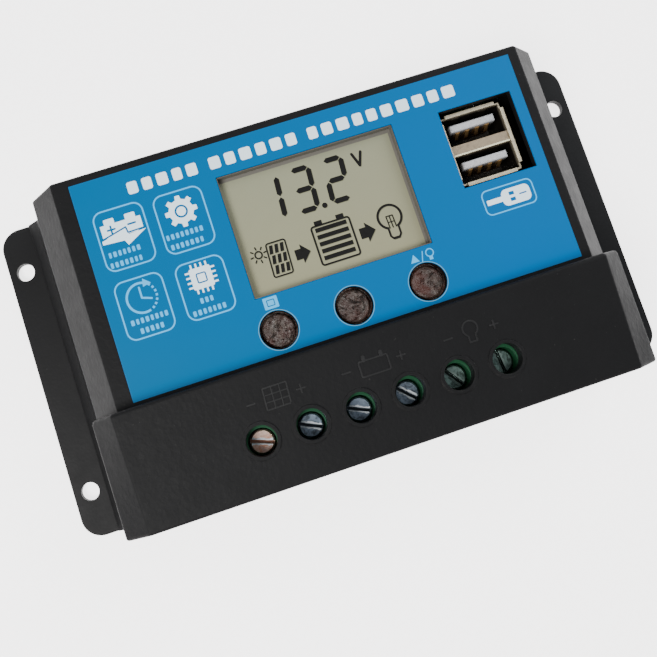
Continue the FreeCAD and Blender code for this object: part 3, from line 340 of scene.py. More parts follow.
SCREW_TOP = top_of("terminal_screw_1")
BLACK = (0.0085, 0.0085, 0.0090)
MATERIALS = {
    "case": plastic("case_black", BLACK, 0.52, 0.80, 0.060, 0.18, 0.5, dust=0.12, bevel_mm=0.35,
                    specular=0.09, wear_colour=(0.050, 0.048, 0.047)),
    "base": plastic("base_black", (0.0105, 0.0105, 0.0112), 0.48, 0.5, 0.022, 0.15, 0.5, dust=0.10,
                    bevel_mm=0.3, specular=0.12, wear_colour=(0.050, 0.050, 0.050)),
    "relief": plastic("moulded_mark", (0.012, 0.012, 0.0125), 0.48, 0.25, 0.012, wear=0.4, bevel_mm=0.1,
                      specular=0.2),
    "label": make_label_blue(),
    # both label inks glow a little: painted light
    "ink": make_ink("white_ink", (0.66, 0.80, 0.88), glow=0.30),
    "soft_ink": make_ink("thin_white_ink", (0.05, 0.40, 0.75), patch=0.3, glow=0.25,
                         glow_colour=(0.05, 0.50, 1.0)),
    # bitten slot edges, also painted bright to stand in for the slot edges' highlights
    "worn": make_ink("worn_edge_and_highlight", (0.85, 0.90, 0.96), 0.35, 0.5),
    "soft_wear": make_ink("worn_edge_dull", (0.20, 0.27, 0.25), 0.45, 0.5),
    "fold": metal("bright_fold", (0.95, 0.88, 0.62), 0.40, (5, 1, 1), 15, 0.0),
    # grey-brown: the lit look of the black window wall, painted, and its painted shadow line on the glass
    "window_lit_and_shadow": plastic("window_wall_painted_light_and_shade", (0.120, 0.112, 0.095), 0.6, 0.4, 0.02, wear=0.2, bevel_mm=0.05),
    "rim": make_ink("label_rim", (0.004, 0.125, 0.30), 0.55),
    "cut": make_ink("cut_edge", (0.10, 0.32, 0.48), 0.55),
    "lcd": make_lcd(),
    "lcd_ink": make_ink("lcd_segment", (0.0025, 0.0022, 0.0018), 0.5, 0.1),
    "lcd_shade": make_ink("lcd_segment_shadow", (0.150, 0.150, 0.095), 0.5, 0.15),
    "button": make_button(),
    "tongue": make_tongue(),
    "white": plastic("natural_nylon", (0.60, 0.59, 0.57), 0.42, 0.3, 0.006, 0.05, 0.1, bevel_mm=0.2,
                     wear_colour=(0.5, 0.48, 0.45)),
    "milky": plastic("diffuser", (0.66, 0.66, 0.60), 0.4, 0.4, 0.006, 0.05, 0.0),
    # the terminal green, with painted shade (inner) in its screw wells
    "green": plastic("terminal_nylon", (0.022, 0.105, 0.046), 0.42, 0.28, 0.008, 0.16, 0.4, bevel_mm=0.3,
                     specular=0.12, wear_colour=(0.07, 0.17, 0.11), inner=(0.010, 0.060, 0.026)),
    "black_part": plastic("black_part", (0.011, 0.011, 0.012), 0.5, 0.25, 0.008, wear=0.2, bevel_mm=0.15),
    "sleeve": plastic("can_sleeve", (0.016, 0.018, 0.030), 0.3, 0.5, 0.004, wear=0.1, coat=0.3),
    "ferrite": plastic("ferrite", (0.025, 0.025, 0.026), 0.6, 0.2, 0.015, wear=0.5),
    "silicone": plastic("thermal_pad", (0.30, 0.36, 0.45), 0.7, 0.4, 0.01, wear=0.0),
    "pcb": make_pcb(),
    # second colour: grime, and at half strength the painted shade inside the slot
    "zinc": make_screw("zinc_screw", (0.25, 0.31, 0.39), (0.035, 0.043, 0.052)),
    "zinc_green": make_screw("zinc_screw_tarnished", (0.22, 0.32, 0.29), (0.025, 0.040, 0.033)),
    "copper_screw": make_screw("worn_copper_screw", (0.60, 0.44, 0.37), (0.36, 0.17, 0.11)),
    "steel": metal("case_screw", (0.45, 0.46, 0.48), 0.34, (1, 6, 1), 10, 0.3),
    # the dark colour and the two heights of each socket metal set its painted shade inside the socket
    "nickel": socket_metal("socket_nickel", (0.66, 0.58, 0.42), (0.022, 0.017, 0.013), 27.3, 25.8, 0.3),
    "divider": socket_metal("socket_divider", (0.34, 0.27, 0.19), (0.030, 0.024, 0.018), 26.9, 25.2, 0.36,
                            15),
    "tin": metal("tinned", (0.60, 0.60, 0.58), 0.36, (1, 5, 1), 0, 0.3),
    "gold": socket_metal("gold_flash", (0.52, 0.32, 0.13), (0.10, 0.05, 0.02), 26.0, 22.5, 0.3),
    "aluminium": metal("rolled_aluminium", (0.70, 0.71, 0.72), 0.38, (12, 1, 1), 0, 0.15),
    "copper": metal("winding", (0.55, 0.22, 0.09), 0.34, (1, 1, 14), 0, 0.2),
}


def dress(node, key):
    """Give a CAD node its material and smooth shading between sharp edges."""
    mesh = NODES[node].data
    mesh.materials.clear()
    mesh.materials.append(MATERIALS[key])
    mesh.shade_smooth()
    mesh.set_sharp_from_angle(angle=math.radians(28))


FINISH = {"case_shell": "case", "base_plate": "base", "case_screws": "steel", "face_label": "label",
          "lcd_glass": "lcd", "lcd_frame": "white", "lcd_backlight": "milky", "lcd_pins": "tin",
          "main_pcb": "pcb", "pcb_screws": "steel", "usb_shell": "nickel", "usb_divider": "divider",
          "usb_insulator": "tongue", "usb_contacts": "gold", "terminal_block": "green",
          "heat_plate": "aluminium", "thermal_pad": "silicone", "capacitor_1": "sleeve",
          "capacitor_2": "sleeve", "inductor_core": "ferrite", "inductor_coil": "copper",
          "control_chip": "black_part"}
FAMILIES = {"mosfet_": "black_part", "terminal_bar_": "tin", "terminal_cage_": "tin",
            "terminal_screw_": "zinc", "switch_base_": "black_part", "switch_cover_": "tin",
            "switch_dome_": "tin", "switch_plunger_": "black_part", "button_cap_": "button"}
for node in NODES:
    family = [key for stem, key in FAMILIES.items() if node.startswith(stem)]
    dress(node, FINISH.get(node) or family[0])
dress("terminal_screw_1", "copper_screw")
for node in ("terminal_screw_5", "terminal_screw_6"):
    dress(node, "zinc_green")


# ------------------------------------------------------------------ thin printed and moulded shapes
LAYER_LIFT = 0.0006     # how much higher each overlapping shape stands, mm
LAYERS = 11             # after this many shapes the lift starts again
CORNER_STEPS = 6        # straight pieces in a rounded corner


def flat(height):
    """A level surface for a Drawing to lie on."""
    return lambda x, y: height


class Drawing:
    """Flat shapes in millimetres, gathered into one thin mesh lying on a surface."""

    def __init__(self, level, thickness):
        self.level, self.thickness = level, thickness
        self.verts, self.faces, self.count = [], [], 0

    def area(self, outline, layered=True):
        """A filled outline. Each one is a hair higher than the last, so that overlaps don't fight."""
        n, first = len(outline), len(self.verts)
        lift = LAYER_LIFT * (self.count % LAYERS) if layered else 0.0
        self.count += 1 if layered else 0
        for height in (0.0, self.thickness + lift):
            self.verts += [(x, y, self.level(x, y) + height) for x, y in outline]
        turn = sum(outline[i][0] * outline[(i + 1) % n][1] - outline[(i + 1) % n][0] * outline[i][1]
                   for i in range(n))
        top = [first + n + i for i in range(n)]
        self.faces.append(top if turn > 0 else top[::-1])
        for i in range(n):
            j = (i + 1) % n
            side = [first + i, first + j, first + n + j, first + n + i]
            self.faces.append(side if turn > 0 else side[::-1])

    def line(self, points, width, closed=False):
        """A stroke with round ends and joints."""
        pairs = list(zip(points, points[1:])) + ([(points[-1], points[0])] if closed else [])
        for (ax, ay), (bx, by) in pairs:
            length = math.hypot(bx - ax, by - ay) or 1e-6
            nx, ny = -(by - ay) / length * width / 2, (bx - ax) / length * width / 2
            self.area([(ax + nx, ay + ny), (ax - nx, ay - ny), (bx - nx, by - ny), (bx + nx, by + ny)])
        for x, y in points:
            self.disc(x, y, width / 2, 10)

    def disc(self, x, y, r, n=28):
        self.area([(x + r * math.cos(2 * math.pi * i / n), y + r * math.sin(2 * math.pi * i / n))
                   for i in range(n)])

    def arc(self, x, y, r, width, start=0.0, end=360.0, n=48):
        steps = max(3, int(n * abs(end - start) / 360))
        turn = [math.radians(start + (end - start) * i / steps) for i in range(steps + 1)]
        rim = [[(x + q * math.cos(a), y + q * math.sin(a)) for a in turn]
               for q in (r - width / 2, r + width / 2)]
        self.strip(rim[0], rim[1])

    def strip(self, inner, outer):
        for i in range(len(inner) - 1):
            self.area([inner[i], outer[i], outer[i + 1], inner[i + 1]], layered=False)
        self.count += 1

    def rounded(self, x0, x1, y0, y1, r, lean=0.0):
        """Outline of a rectangle with round corners."""
        middle, points = (y0 + y1) / 2, []
        corners = ((x1 - r, y0 + r, -90), (x1 - r, y1 - r, 0), (x0 + r, y1 - r, 90), (x0 + r, y0 + r, 180))
        for cx, cy, a0 in corners:
            for i in range(CORNER_STEPS + 1):
                a = math.radians(a0 + 90 // CORNER_STEPS * i)
                px, py = cx + r * math.cos(a), cy + r * math.sin(a)
                points.append((px + (py - middle) * lean, py))
        return points

    def frame(self, x0, x1, y0, y1, r, width, lean=0.0):
        h = width / 2
        inner = self.rounded(x0 + h, x1 - h, y0 + h, y1 - h, max(r - h, 0.02), lean)
        outer = self.rounded(x0 - h, x1 + h, y0 - h, y1 + h, r + h, lean)
        self.strip(inner + inner[:1], outer + outer[:1])

    def block(self, x0, x1, y0, y1, r=0.0, lean=0.0):
        if r:
            self.area(self.rounded(x0, x1, y0, y1, r, lean))
        else:
            m = (y0 + y1) / 2
            self.area([(x + (y - m) * lean, y) for x, y in ((x0, y0), (x1, y0), (x1, y1), (x0, y1))])

    def build(self, name, key, body="controller"):
        return solid(name, self.verts, self.faces, key, body)


def solid(name, verts, faces, key, body, smooth=False):
    mesh = bpy.data.meshes.new(name)
    mesh.from_pydata([(x * MM, y * MM, z * MM) for x, y, z in verts], [], faces)
    mesh.materials.append(MATERIALS[key])
    if smooth:
        mesh.shade_smooth()
        mesh.set_sharp_from_angle(angle=math.radians(35))
    mesh.update()
    obj = bpy.data.objects.new(name, mesh)
    bpy.context.scene.collection.objects.link(obj)
    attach(obj, body)
    return obj


LABEL_TOP = top_of("face_label")
LCD_TOP = top_of("lcd_glass")


# ------------------------------------------------------------------ the printed face
def word_blocks(d, x, y, count, letter, gap, height):
    """A row of plain rounded blocks standing where lettering would be."""
    for i in range(count):
        w = letter * (0.86 + 0.28 * rng.random())
        d.block(x, x + w, y, y + height, 0.18 * height)
        x += w + gap
    return x


TITLE_AT = (-38.8, 31.45)
TITLE_WORDS = ((5, 2.4), (6, 2.65), (10, 2.5))      # blocks in each word, and their mean width
TITLE_GAP, TITLE_HEIGHT, WORD_SPACE = 1.08, 2.75, 1.7
# two rows under each icon: left end, height and count of the upper row, height and count of the lower
CAPTIONS = ((-46.8, 19.2, 7, 16.9, 7), (-33.9, 19.1, 8, 16.8, 7),
            (-46.5, 3.7, 8, 1.5, 5), (-31.0, 3.8, 3, 1.5, 7))
CAPTION_LETTER = (0.66, 0.42, 1.2)                  # width, gap, height
CAPTION_HALF_PITCH = 0.56
ICON_BOXES = ((-47.9, -37.0, 16.2, 29.6), (-34.5, -23.7, 15.9, 29.2),
              (-47.9, -37.4, 0.6, 13.5), (-34.4, -23.8, 0.7, 13.2))
BOX_CORNER, BOX_LINE = 2.0, 0.34
INK = 0.012             # thickness of the print, mm
CUTOUT_LIFT, CUTOUT = 0.021, 0.004
EDGE_SUNK, EDGE = 0.004, 0.008
BUTTON_CUT_R, BUTTON_CUT_LINE = 4.40, 0.17
OUTER_INSET, OUTER_LINE = 0.06, 0.10


def draw_title(d):
    x, y = TITLE_AT
    for letters, letter in TITLE_WORDS:
        x = word_blocks(d, x, y, letters, letter, TITLE_GAP, TITLE_HEIGHT) + WORD_SPACE


def draw_captions(d):
    for x, y_up, n_up, y_low, n_low in CAPTIONS:
        end = word_blocks(d, x, y_up, n_up, *CAPTION_LETTER)
        middle = (x + end) / 2
        word_blocks(d, middle - n_low * CAPTION_HALF_PITCH, y_low, n_low, *CAPTION_LETTER)


def draw_battery_icon(d):
    """A car battery with a wide lightning flash struck through its lower half."""
    d.area([(-46.9, 26.5), (-37.9, 26.5), (-37.9, 23.9), (-39.4, 23.3), (-46.9, 23.6)])
    d.block(-45.9, -43.6, 26.4, 27.7, 0.25)
    d.block(-41.2, -38.9, 26.4, 27.7, 0.25)
    d.area([(-47.3, 23.2), (-41.5, 24.6), (-41.3, 23.2), (-37.4, 23.4), (-42.0, 20.9), (-42.6, 22.1),
            (-47.3, 22.4)])


def cut_battery_icon(d):
    """Blue signs and the flash's upper edge, over the white battery."""
    d.line([(-45.5, 25.2), (-43.9, 25.2)], 0.42)
    d.line([(-44.7, 26.0), (-44.7, 24.4)], 0.42)
    d.line([(-40.9, 25.3), (-39.3, 25.3)], 0.42)
    d.line([(-47.2, 23.5), (-41.6, 24.9), (-41.4, 23.6), (-37.6, 23.7)], 0.34)


def draw_gear(d):
    cx, cy = -29.1, 24.6
    points = []
    for i in range(8):
        for turn, r in ((-13, 2.75), (-8, 3.6), (8, 3.6), (13, 2.75)):
            a = math.radians(45 * i + turn)
            points.append((cx + r * math.cos(a), cy + r * math.sin(a)))
    d.area(points)
    return cx, cy


def draw_clock(d):
    cx, cy = -42.7, 9.0
    d.arc(cx, cy, 3.25, 0.5, 62, 290)
    for i in range(7):
        d.arc(cx, cy, 3.25, 0.5, 300 + 17 * i, 309 + 17 * i)
    d.line([(cx, cy + 2.3), (cx, cy), (cx + 2.0, cy - 0.7)], 0.42)
    d.area([(cx + 1.2, cy + 4.0), (cx + 2.8, cy + 2.6), (cx + 0.9, cy + 2.2)])


def draw_chip(d):
    cx, cy, half = -29.2, 9.3, 2.35
    d.block(cx - half, cx + half, cy - half, cy + half, 0.4)
    for i in range(4):
        t = -1.65 + 1.1 * i
        d.block(cx + t - 0.2, cx + t + 0.2, cy - half - 0.95, cy + half + 0.95)
        d.block(cx - half - 0.95, cx + half + 0.95, cy + t - 0.2, cy + t + 0.2)
    return cx, cy


def draw_face():
    """White print, paler blue-white print, and blue shapes laid over the white."""
    white = Drawing(flat(LABEL_TOP), INK)
    soft = Drawing(flat(LABEL_TOP), INK)
    over = Drawing(flat(LABEL_TOP + CUTOUT_LIFT), CUTOUT)
    draw_title(white)
    for box in ICON_BOXES:
        soft.frame(*box, BOX_CORNER, BOX_LINE)
    draw_captions(soft)
    draw_battery_icon(white)
    cut_battery_icon(over)
    cx, cy = draw_gear(white)
    over.arc(cx, cy, 1.25, 0.42)
    draw_clock(soft)
    cx, cy = draw_chip(white)
    over.frame(cx - 1.0, cx + 1.0, cy - 1.0, cy + 1.0, 0.25, 0.3)
    # marks over the outer buttons
    soft.block(-18.3, -15.1, -1.85, 0.75, 0.2)
    over.frame(-17.5, -15.9, -1.2, 0.1, 0.1, 0.2)
    soft.area([(15.3, -1.9), (17.3, -1.9), (16.3, -0.1)])
    soft.line([(17.9, -2.1), (18.5, 0.0)], 0.22)
    soft.arc(20.0, -0.7, 0.85, 0.25)
    soft.block(19.6, 20.4, -2.3, -1.5)
    # socket mark under the USB window: a plain plug outline
    soft.frame(35.3, 47.2, 2.9, 8.5, 1.3, 0.3)
    white.block(39.6, 46.3, 3.8, 7.6, 1.2)
    white.block(36.0, 40.0, 5.1, 6.3, 0.2)
    over.block(41.4, 42.6, 6.0, 6.8)
    over.block(41.4, 42.6, 4.6, 5.4)
    over.line([(43.8, 5.7), (45.3, 5.7)], 0.3)
    white.build("label_print", "ink")
    soft.build("label_print_icons", "soft_ink")
    over.build("label_print_cutouts", "label")


def draw_cut_edges():
    """The film's outside edge, and the paler edges die-cut round the buttons."""
    outside = Drawing(flat(LABEL_TOP - EDGE_SUNK), EDGE)
    low, high = (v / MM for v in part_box("face_label"))
    outside.frame(low.x + OUTER_INSET, high.x - OUTER_INSET, low.y + OUTER_INSET, high.y - OUTER_INSET,
                  OUTER_INSET, OUTER_LINE)
    outside.build("label_outer_edge", "rim")
    d = Drawing(flat(LABEL_TOP - EDGE_SUNK), EDGE)
    for i in (1, 2, 3):
        a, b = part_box("button_cap_%d" % i)
        c = (a + b) / 2 / MM
        d.arc(c.x, c.y, BUTTON_CUT_R, BUTTON_CUT_LINE, n=64)
    d.build("label_cut_edges", "cut")


# ------------------------------------------------------------------ the display
LEAN = 0.07                                         # sideways slope of the digits
SEGMENTS = {"1": "bc", "2": "abged", "3": "abgcd"}
DIGITS = (("1", -11.25), ("3", -3.65), ("2", 4.05))  # each digit and its left side
DIGIT_FOOT, DIGIT_WIDTH, DIGIT_HEIGHT, DIGIT_STROKE = 16.95, 4.05, 9.5, 1.22
SEGMENT_INK = 0.010
SHADOW_SUNK, SHADOW_INK = 0.006, 0.008
SHADOW_SHIFT = (0.10, -0.13)


def digit(d, x, y, w, h, t, lit):
    """One seven-segment digit with pointed, gapped segments; x, y is its lower left."""
    gap, half = 0.14, h / 2

    def seg(ax, ay, bx, by):
        along = Vector((bx - ax, by - ay)).normalized()
        side = Vector((-along.y, along.x)) * t / 2
        a, b = Vector((ax, ay)) + along * gap, Vector((bx, by)) - along * gap
        nib = along * t / 2
        pts = [a, a + nib + side, b - nib + side, b, b - nib - side, a + nib - side]
        d.area([(x + p.x + (p.y - half) * LEAN, y + p.y) for p in pts])

    spots = {"a": (0, h, w, h), "b": (w, half, w, h), "c": (w, 0, w, half), "d": (0, 0, w, 0),
             "e": (0, 0, 0, half), "f": (0, half, 0, h), "g": (0, half, w, half)}
    for name in lit:
        seg(*spots[name])


def draw_reading(d):
    """Three digits, the point and the unit."""
    for value, x in DIGITS:
        digit(d, x, DIGIT_FOOT, DIGIT_WIDTH, DIGIT_HEIGHT, DIGIT_STROKE, SEGMENTS[value])
    d.disc(1.65, 16.85, 0.62, 16)
    d.line([(11.1, 26.2), (12.15, 23.2), (13.2, 26.2)], 0.62)


def block_arrow(d, x, y, scale):
    d.area([(x + px * scale, y + py * scale) for px, py in
            ((0, 1.15), (1.45, 1.15), (1.45, 2.15), (3.45, 0), (1.45, -2.15), (1.45, -1.15), (0, -1.15))])


def draw_flow(d):
    """Sun and panel, arrow, battery, arrow, lamp."""
    d.arc(-15.9, 10.6, 0.78, 0.34)
    for i in range(8):
        a = math.radians(45 * i + 10)
        d.line([(-15.9 + 1.3 * math.cos(a), 10.6 + 1.3 * math.sin(a)),
                (-15.9 + 1.85 * math.cos(a), 10.6 + 1.85 * math.sin(a))], 0.3)
    d.frame(-13.9, -9.5, 4.7, 12.4, 0.5, 0.34, lean=0.04)
    for row in range(3):
        for col in range(3):
            x, y = -13.3 + 1.25 * col, 5.3 + 2.3 * row
            d.block(x, x + 0.8, y, y + 1.95, lean=0.18)
    block_arrow(d, -8.1, 8.0, 1.02)
    d.frame(-3.0, 5.9, 4.0, 12.9, 0.6, 0.42)
    d.block(-2.0, -0.2, 13.0, 14.0)
    d.block(3.1, 4.9, 13.0, 14.0)
    for i in range(5):
        d.block(-2.2, 5.1, 4.95 + 1.62 * i, 5.93 + 1.62 * i)
    block_arrow(d, 7.15, 8.2, 1.06)
    d.arc(14.7, 10.0, 2.7, 0.55, -68, 248)
    d.line([(13.6, 7.6), (13.6, 5.7), (14.1, 5.0), (15.5, 5.0), (16.0, 5.7), (16.0, 7.6)], 0.45)
    d.line([(14.3, 5.0), (15.4, 5.0)], 0.6)
    for x in (14.0, 14.75, 15.5):
        d.line([(x, 7.5), (x - 0.1, 10.2)], 0.26)
    d.line([(13.9, 10.2), (15.4, 10.2)], 0.26)
    d.line([(13.95, 8.8), (15.45, 8.8)], 0.2)


def draw_display():
    """The segments, and the shadow they throw on the reflector behind them."""
    ink = Drawing(flat(LCD_TOP), SEGMENT_INK)
    draw_reading(ink)
    draw_flow(ink)
    ink.build("lcd_segments", "lcd_ink")
    shade = Drawing(flat(LCD_TOP - SHADOW_SUNK), SHADOW_INK)
    draw_reading(shade)
    draw_flow(shade)
    shade.verts = [(x + SHADOW_SHIFT[0], y + SHADOW_SHIFT[1], z) for x, y, z in shade.verts]
    shade.build("lcd_segment_shadows", "lcd_shade")


WINDOW = (-19.7, 21.3, 1.2, 29.4)       # the display opening: x0, x1, y0, y1
WALL_LIFT, WALL_SHORT = 0.02, 0.3       # the wall starts above the glass and stops below the film


def build_window_lit_wall_and_shadow():
    """A grey-brown sheet over the black wall of the display opening, painted lighter as if lit, and the
    shadow line the wall throws on the glass.
    """
    x0, x1, y0, y1 = WINDOW
    wall = Drawing(flat(LCD_TOP + WALL_LIFT), LABEL_TOP - LCD_TOP - WALL_SHORT)
    wall.frame(x0 + 0.09, x1 - 0.09, y0 + 0.09, y1 - 0.09, 0.2, 0.14)
    wall.build("display_window_wall_painted_lit", "window_lit_and_shadow")
    line = Drawing(flat(LCD_TOP - EDGE_SUNK), EDGE)
    line.block(x0 + 0.1, x1 - 0.1, y1 - 0.95, y1 - 0.1)
    line.block(x1 - 0.75, x1 - 0.1, y0 + 0.1, y1 - 0.1)
    line.build("display_edge_shadow", "window_lit_and_shadow")


# ------------------------------------------------------------------ moulded marks on the ledge
LEDGE_BACK_Y, LEDGE_BACK_Z = -12.8, 35.0
LEDGE_FALL, LEDGE_RUN = 2.0, 26.2
MARK_SUNK, MARK_THICK, MARK_LINE = 0.03, 0.15, 0.32
SIGN_HALF, SIGN_LINE = 0.9, 0.34
SIGNS = ((-27.3, False), (-16.4, True), (-6.3, False), (5.9, True), (16.6, False), (27.0, True))


def ledge_height(x, y):
    """The sloping roof of the terminal ledge."""
    return LEDGE_BACK_Z + (y - LEDGE_BACK_Y) * LEDGE_FALL / LEDGE_RUN


def sign(d, x, y, plus):
    d.line([(x - SIGN_HALF, y), (x + SIGN_HALF, y)], SIGN_LINE)
    if plus:
        d.line([(x, y - SIGN_HALF), (x, y + SIGN_HALF)], SIGN_LINE)


def draw_ledge_marks():
    """Panel, battery and lamp outlines, with a sign beside each terminal."""
    d = Drawing(lambda x, y: ledge_height(x, y) - MARK_SUNK, MARK_THICK)
    w = MARK_LINE
    d.frame(-24.3, -19.1, -22.2, -17.6, 0.2, w, lean=0.05)
    for t in (1, 2):
        d.line([(-24.3 + 1.73 * t, -22.2), (-24.1 + 1.73 * t, -17.6)], w * 0.8)
        d.line([(-24.3, -22.2 + 1.53 * t), (-19.1, -22.2 + 1.53 * t)], w * 0.8)
    d.frame(-3.3, 3.1, -22.0, -18.7, 0.3, w)
    d.line([(-2.0, -18.6), (-2.0, -17.9)], 0.8)
    d.line([(1.9, -18.6), (1.9, -17.9)], 0.8)
    d.arc(21.8, -19.2, 1.65, w, -60, 240)
    d.line([(21.0, -20.8), (21.0, -22.1), (22.6, -22.1), (22.6, -20.8)], w)
    for x, plus in SIGNS:
        sign(d, x, -20.0, plus)
    d.build("ledge_marks", "relief")


# ------------------------------------------------------------------ small metal details
def strip_mesh(points, x0, x1, t):
    """Vertices and faces of a bent strip: a path in (y, z), as wide as x0..x1 and t thick."""
    verts, faces = [], []
    for i, (y, z) in enumerate(points):
        a, b = points[max(i - 1, 0)], points[min(i + 1, len(points) - 1)]
        n = Vector((-(b[1] - a[1]), b[0] - a[0])).normalized() * t / 2
        verts += [(x0, y + n.x, z + n.y), (x1, y + n.x, z + n.y),
                  (x1, y - n.x, z - n.y), (x0, y - n.x, z - n.y)]
    for i in range(len(points) - 1):
        for k in range(4):
            a, b = 4 * i + k, 4 * i + (k + 1) % 4
            faces.append([a, b, b + 4, a + 4])
    last = 4 * (len(points) - 1)
    faces += [[3, 2, 1, 0], [last, last + 1, last + 2, last + 3]]
    return verts, faces


FOLD_SUNK, FOLD_THICK = 0.01, 0.06


def build_divider_fold():
    """The bright rolled edge along the lower side of the plate between the two ports."""
    low, high = (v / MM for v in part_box("usb_divider"))
    fold = Drawing(flat(high.z - FOLD_SUNK), FOLD_THICK)
    fold.block(low.x + 0.1, high.x - 0.1, low.y + 0.02, low.y + 0.42)
    fold.build("usb_divider_fold", "fold")


SLOT_TURNS = (-20, -24, -23, -44, -54, -85)     # angle of each screw's slot, degrees
SLOT_HALF, RIM_CLEAR = 0.39, 0.45
WEAR_STEPS = 12
WEAR_WIDTH = (0.16, 0.50)
WEAR_SUNK, WEAR_THICK = 0.01, 0.035
DULL_SCREWS = (4, 5)                            # the two tarnished screws, counted from 0


def build_slot_wear_and_highlights():
    """Bitten edges along both sides of each screw slot; on the first four screws they are also painted
    bright as the highlights along the slot edges.
    """
    for i, turn in enumerate(SLOT_TURNS):
        low, high = (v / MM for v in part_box("terminal_screw_%d" % (i + 1)))
        c, reach = (low + high) / 2, (high.x - low.x) / 2 - RIM_CLEAR
        a = math.radians(turn)
        along, side = Vector((math.cos(a), math.sin(a))), Vector((-math.sin(a), math.cos(a)))
        d = Drawing(flat(high.z - WEAR_SUNK), WEAR_THICK)
        for way in (-1, 1):
            steps = [along * reach * (2 * k / WEAR_STEPS - 1) for k in range(WEAR_STEPS + 1)]
            inner = [Vector((c.x, c.y)) + p + side * way * SLOT_HALF for p in steps]
            outer = [p + side * way * rng.uniform(*WEAR_WIDTH) for p in inner]
            if way > 0:
                d.strip(inner, outer)
            else:
                d.strip(outer, inner)
        key = "soft_wear" if i in DULL_SCREWS else "worn"
        d.build("screw_slot_wear_%d" % (i + 1), key, "screw_%d" % (i + 1))


PORTS = (-4.5, 4.5)                             # centre of each port from the shell's centre
TONGUE_SHIFT, TONGUE_HALF, SPRING_GAP = 0.9, 0.85, 0.21
SPRING_PITCH, SPRING_HALF, SPRING_THICK = 2.4, 0.4, 0.16
OUTER_WALL, INNER_WALL = 7.72, 1.28             # inner faces the fingers bend away from
FINGER_X, FINGER_HALF, FINGER_THICK = 3.4, 1.0, 0.18


def build_springs():
    """Contact springs under each tongue and the shell's retaining fingers."""
    low, high = (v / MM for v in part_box("usb_shell"))
    cx, cy = (low.x + high.x) / 2, (low.y + high.y) / 2
    verts, faces = [], []

    def take(part):
        base = len(verts)
        verts.extend(part[0])
        faces.extend([[base + i for i in f] for f in part[1]])

    for port in PORTS:
        under = cy + port + TONGUE_SHIFT - TONGUE_HALF - SPRING_GAP
        for k in range(4):
            x = cx + SPRING_PITCH * (k - 1.5)
            path = [(under, 25.3), (under - 0.15, 24.6), (under - 0.75, 22.9), (under - 0.85, 22.2),
                    (under - 0.4, 20.4), (under, 18.6)]
            take(strip_mesh(path, x - SPRING_HALF, x + SPRING_HALF, SPRING_THICK))
    solid("usb_springs", verts, faces, "gold", "controller", smooth=True)

    verts, faces = [], []
    walls = ((cy + OUTER_WALL, -1), (cy - OUTER_WALL, 1), (cy + INNER_WALL, 1), (cy - INNER_WALL, -1))
    for wall, way in walls:
        for x in (cx - FINGER_X, cx + FINGER_X):
            path = [(wall, 25.9), (wall + way * 0.1, 25.2), (wall + way * 0.55, 23.6),
                    (wall + way * 0.62, 22.8), (wall + way * 0.35, 21.8)]
            take(strip_mesh(path, x - FINGER_HALF, x + FINGER_HALF, FINGER_THICK))
    solid("usb_shell_fingers", verts, faces, "nickel", "controller", smooth=True)


def build_snap_domes():
    """Copies of the thin domes under the plungers, each with its own mesh, in place of the hidden CAD domes.
    """
    for i in (1, 2, 3):
        node = "switch_dome_%d" % i
        dome = bpy.data.objects.new("snap_dome_%d" % i, NODES[node].data.copy())
        bpy.context.scene.collection.objects.link(dome)
        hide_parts(node)
        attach(dome, "controller")
        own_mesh(dome)


draw_face()
draw_cut_edges()
draw_display()
build_window_lit_wall_and_shadow()
draw_ledge_marks()
build_springs()
build_divider_fold()
build_slot_wear_and_highlights()
build_snap_domes()


# ------------------------------------------------------------------ floor, light, camera
FLOOR_GLOW = 3.0
FLOOR_HALF = 1.6                                # metres
FLOOR_Z = -0.0002
LIT_POINT = (0, 0, 0.02)
LAMPS = (("key", (-0.34, -0.20, 0.62), (0.34, 0.30), 7.0, (1.0, 0.985, 0.96)),
         ("fill", (0.50, 0.30, 0.50), (0.5, 0.5), 4.0, (0.95, 0.975, 1.0)))
SKY, SKY_STRENGTH = (0.93, 0.96, 1.0, 1.0), 0.42
SENSOR_WIDTH, LENS = 36.0, 45.71                # millimetres
LENS_SHIFT = (0.0362, -0.0687)
CAMERA_AT = (-0.02409, -0.01769, 0.21016)       # metres
CAMERA_TURN = (7.2365, -2.8721, -18.2191)       # degrees
NEAR, FAR = 0.01, 10.0


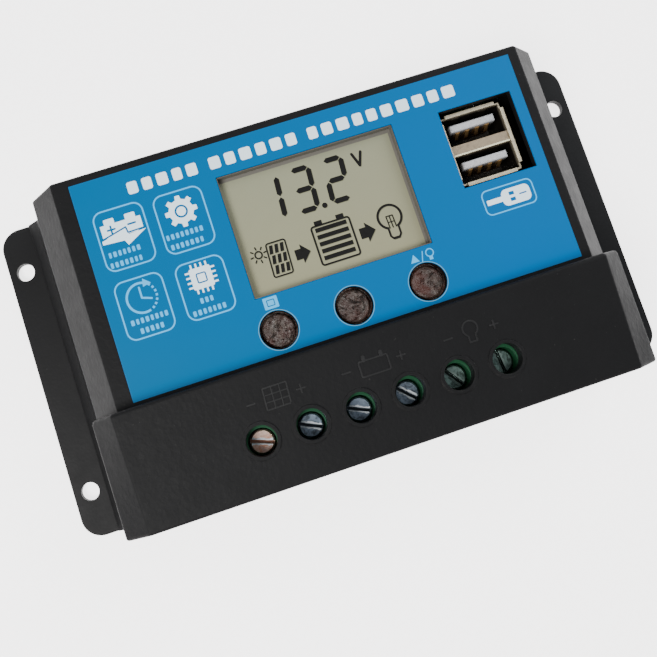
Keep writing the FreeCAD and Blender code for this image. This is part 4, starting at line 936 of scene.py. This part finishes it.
def make_floor():
    """Pale paper, barely pink, with a fine tooth."""
    s = Shade("floor_paper")
    base = s.mix(s.noise(35, 4), (0.86, 0.845, 0.85), (0.90, 0.885, 0.885))
    base = s.mix(s.remap(s.noise(1.6, 5, 0.7), 0.45, 0.7, 0.0, 0.5), base, (0.82, 0.80, 0.80))
    tooth = s.calc("ADD", s.noise(0.9, 3), s.noise(3.2, 3))
    s.set(Base_Color=base, Roughness=s.remap(s.noise(4, 3), 0.3, 0.7, 0.6, 0.8),
          Normal=s.bump(tooth, 0.10, 0.5),
          Emission_Color=s.mix(s.noise(1.8, 5, 0.7), (0.91, 0.89, 0.89), (1.0, 0.99, 0.99)),
          Emission_Strength=FLOOR_GLOW)
    mesh = bpy.data.meshes.new("floor")
    half = FLOOR_HALF
    corners = [(-half, -half, 0), (half, -half, 0), (half, half, 0), (-half, half, 0)]
    mesh.from_pydata(corners, [], [[0, 1, 2, 3]])
    mesh.materials.append(s.mat)
    floor = bpy.data.objects.new("floor", mesh)
    bpy.context.scene.collection.objects.link(floor)
    floor.location.z = FLOOR_Z


def lamp(name, where, size, power, colour):
    light = bpy.data.lights.new(name, "AREA")
    light.shape = "RECTANGLE"
    light.size, light.size_y = size
    light.energy = power
    light.color = colour
    obj = bpy.data.objects.new(name, light)
    obj.location = where
    aim = Vector(LIT_POINT) - Vector(where)
    obj.rotation_euler = aim.to_track_quat("-Z", "Y").to_euler()
    bpy.context.scene.collection.objects.link(obj)


def make_world():
    world = bpy.data.worlds.new("studio")
    world.use_nodes = True
    back = world.node_tree.nodes["Background"]
    back.inputs["Color"].default_value = SKY
    back.inputs["Strength"].default_value = SKY_STRENGTH
    bpy.context.scene.world = world


def make_camera():
    cam = bpy.data.cameras.new("camera")
    cam.sensor_width = SENSOR_WIDTH
    cam.lens = LENS
    cam.shift_x, cam.shift_y = LENS_SHIFT
    cam.clip_start, cam.clip_end = NEAR, FAR
    obj = bpy.data.objects.new("camera", cam)
    obj.location = CAMERA_AT
    obj.rotation_euler = [math.radians(a) for a in CAMERA_TURN]
    bpy.context.scene.collection.objects.link(obj)
    bpy.context.scene.camera = obj


make_floor()
for row in LAMPS:
    lamp(*row)
make_world()
make_camera()
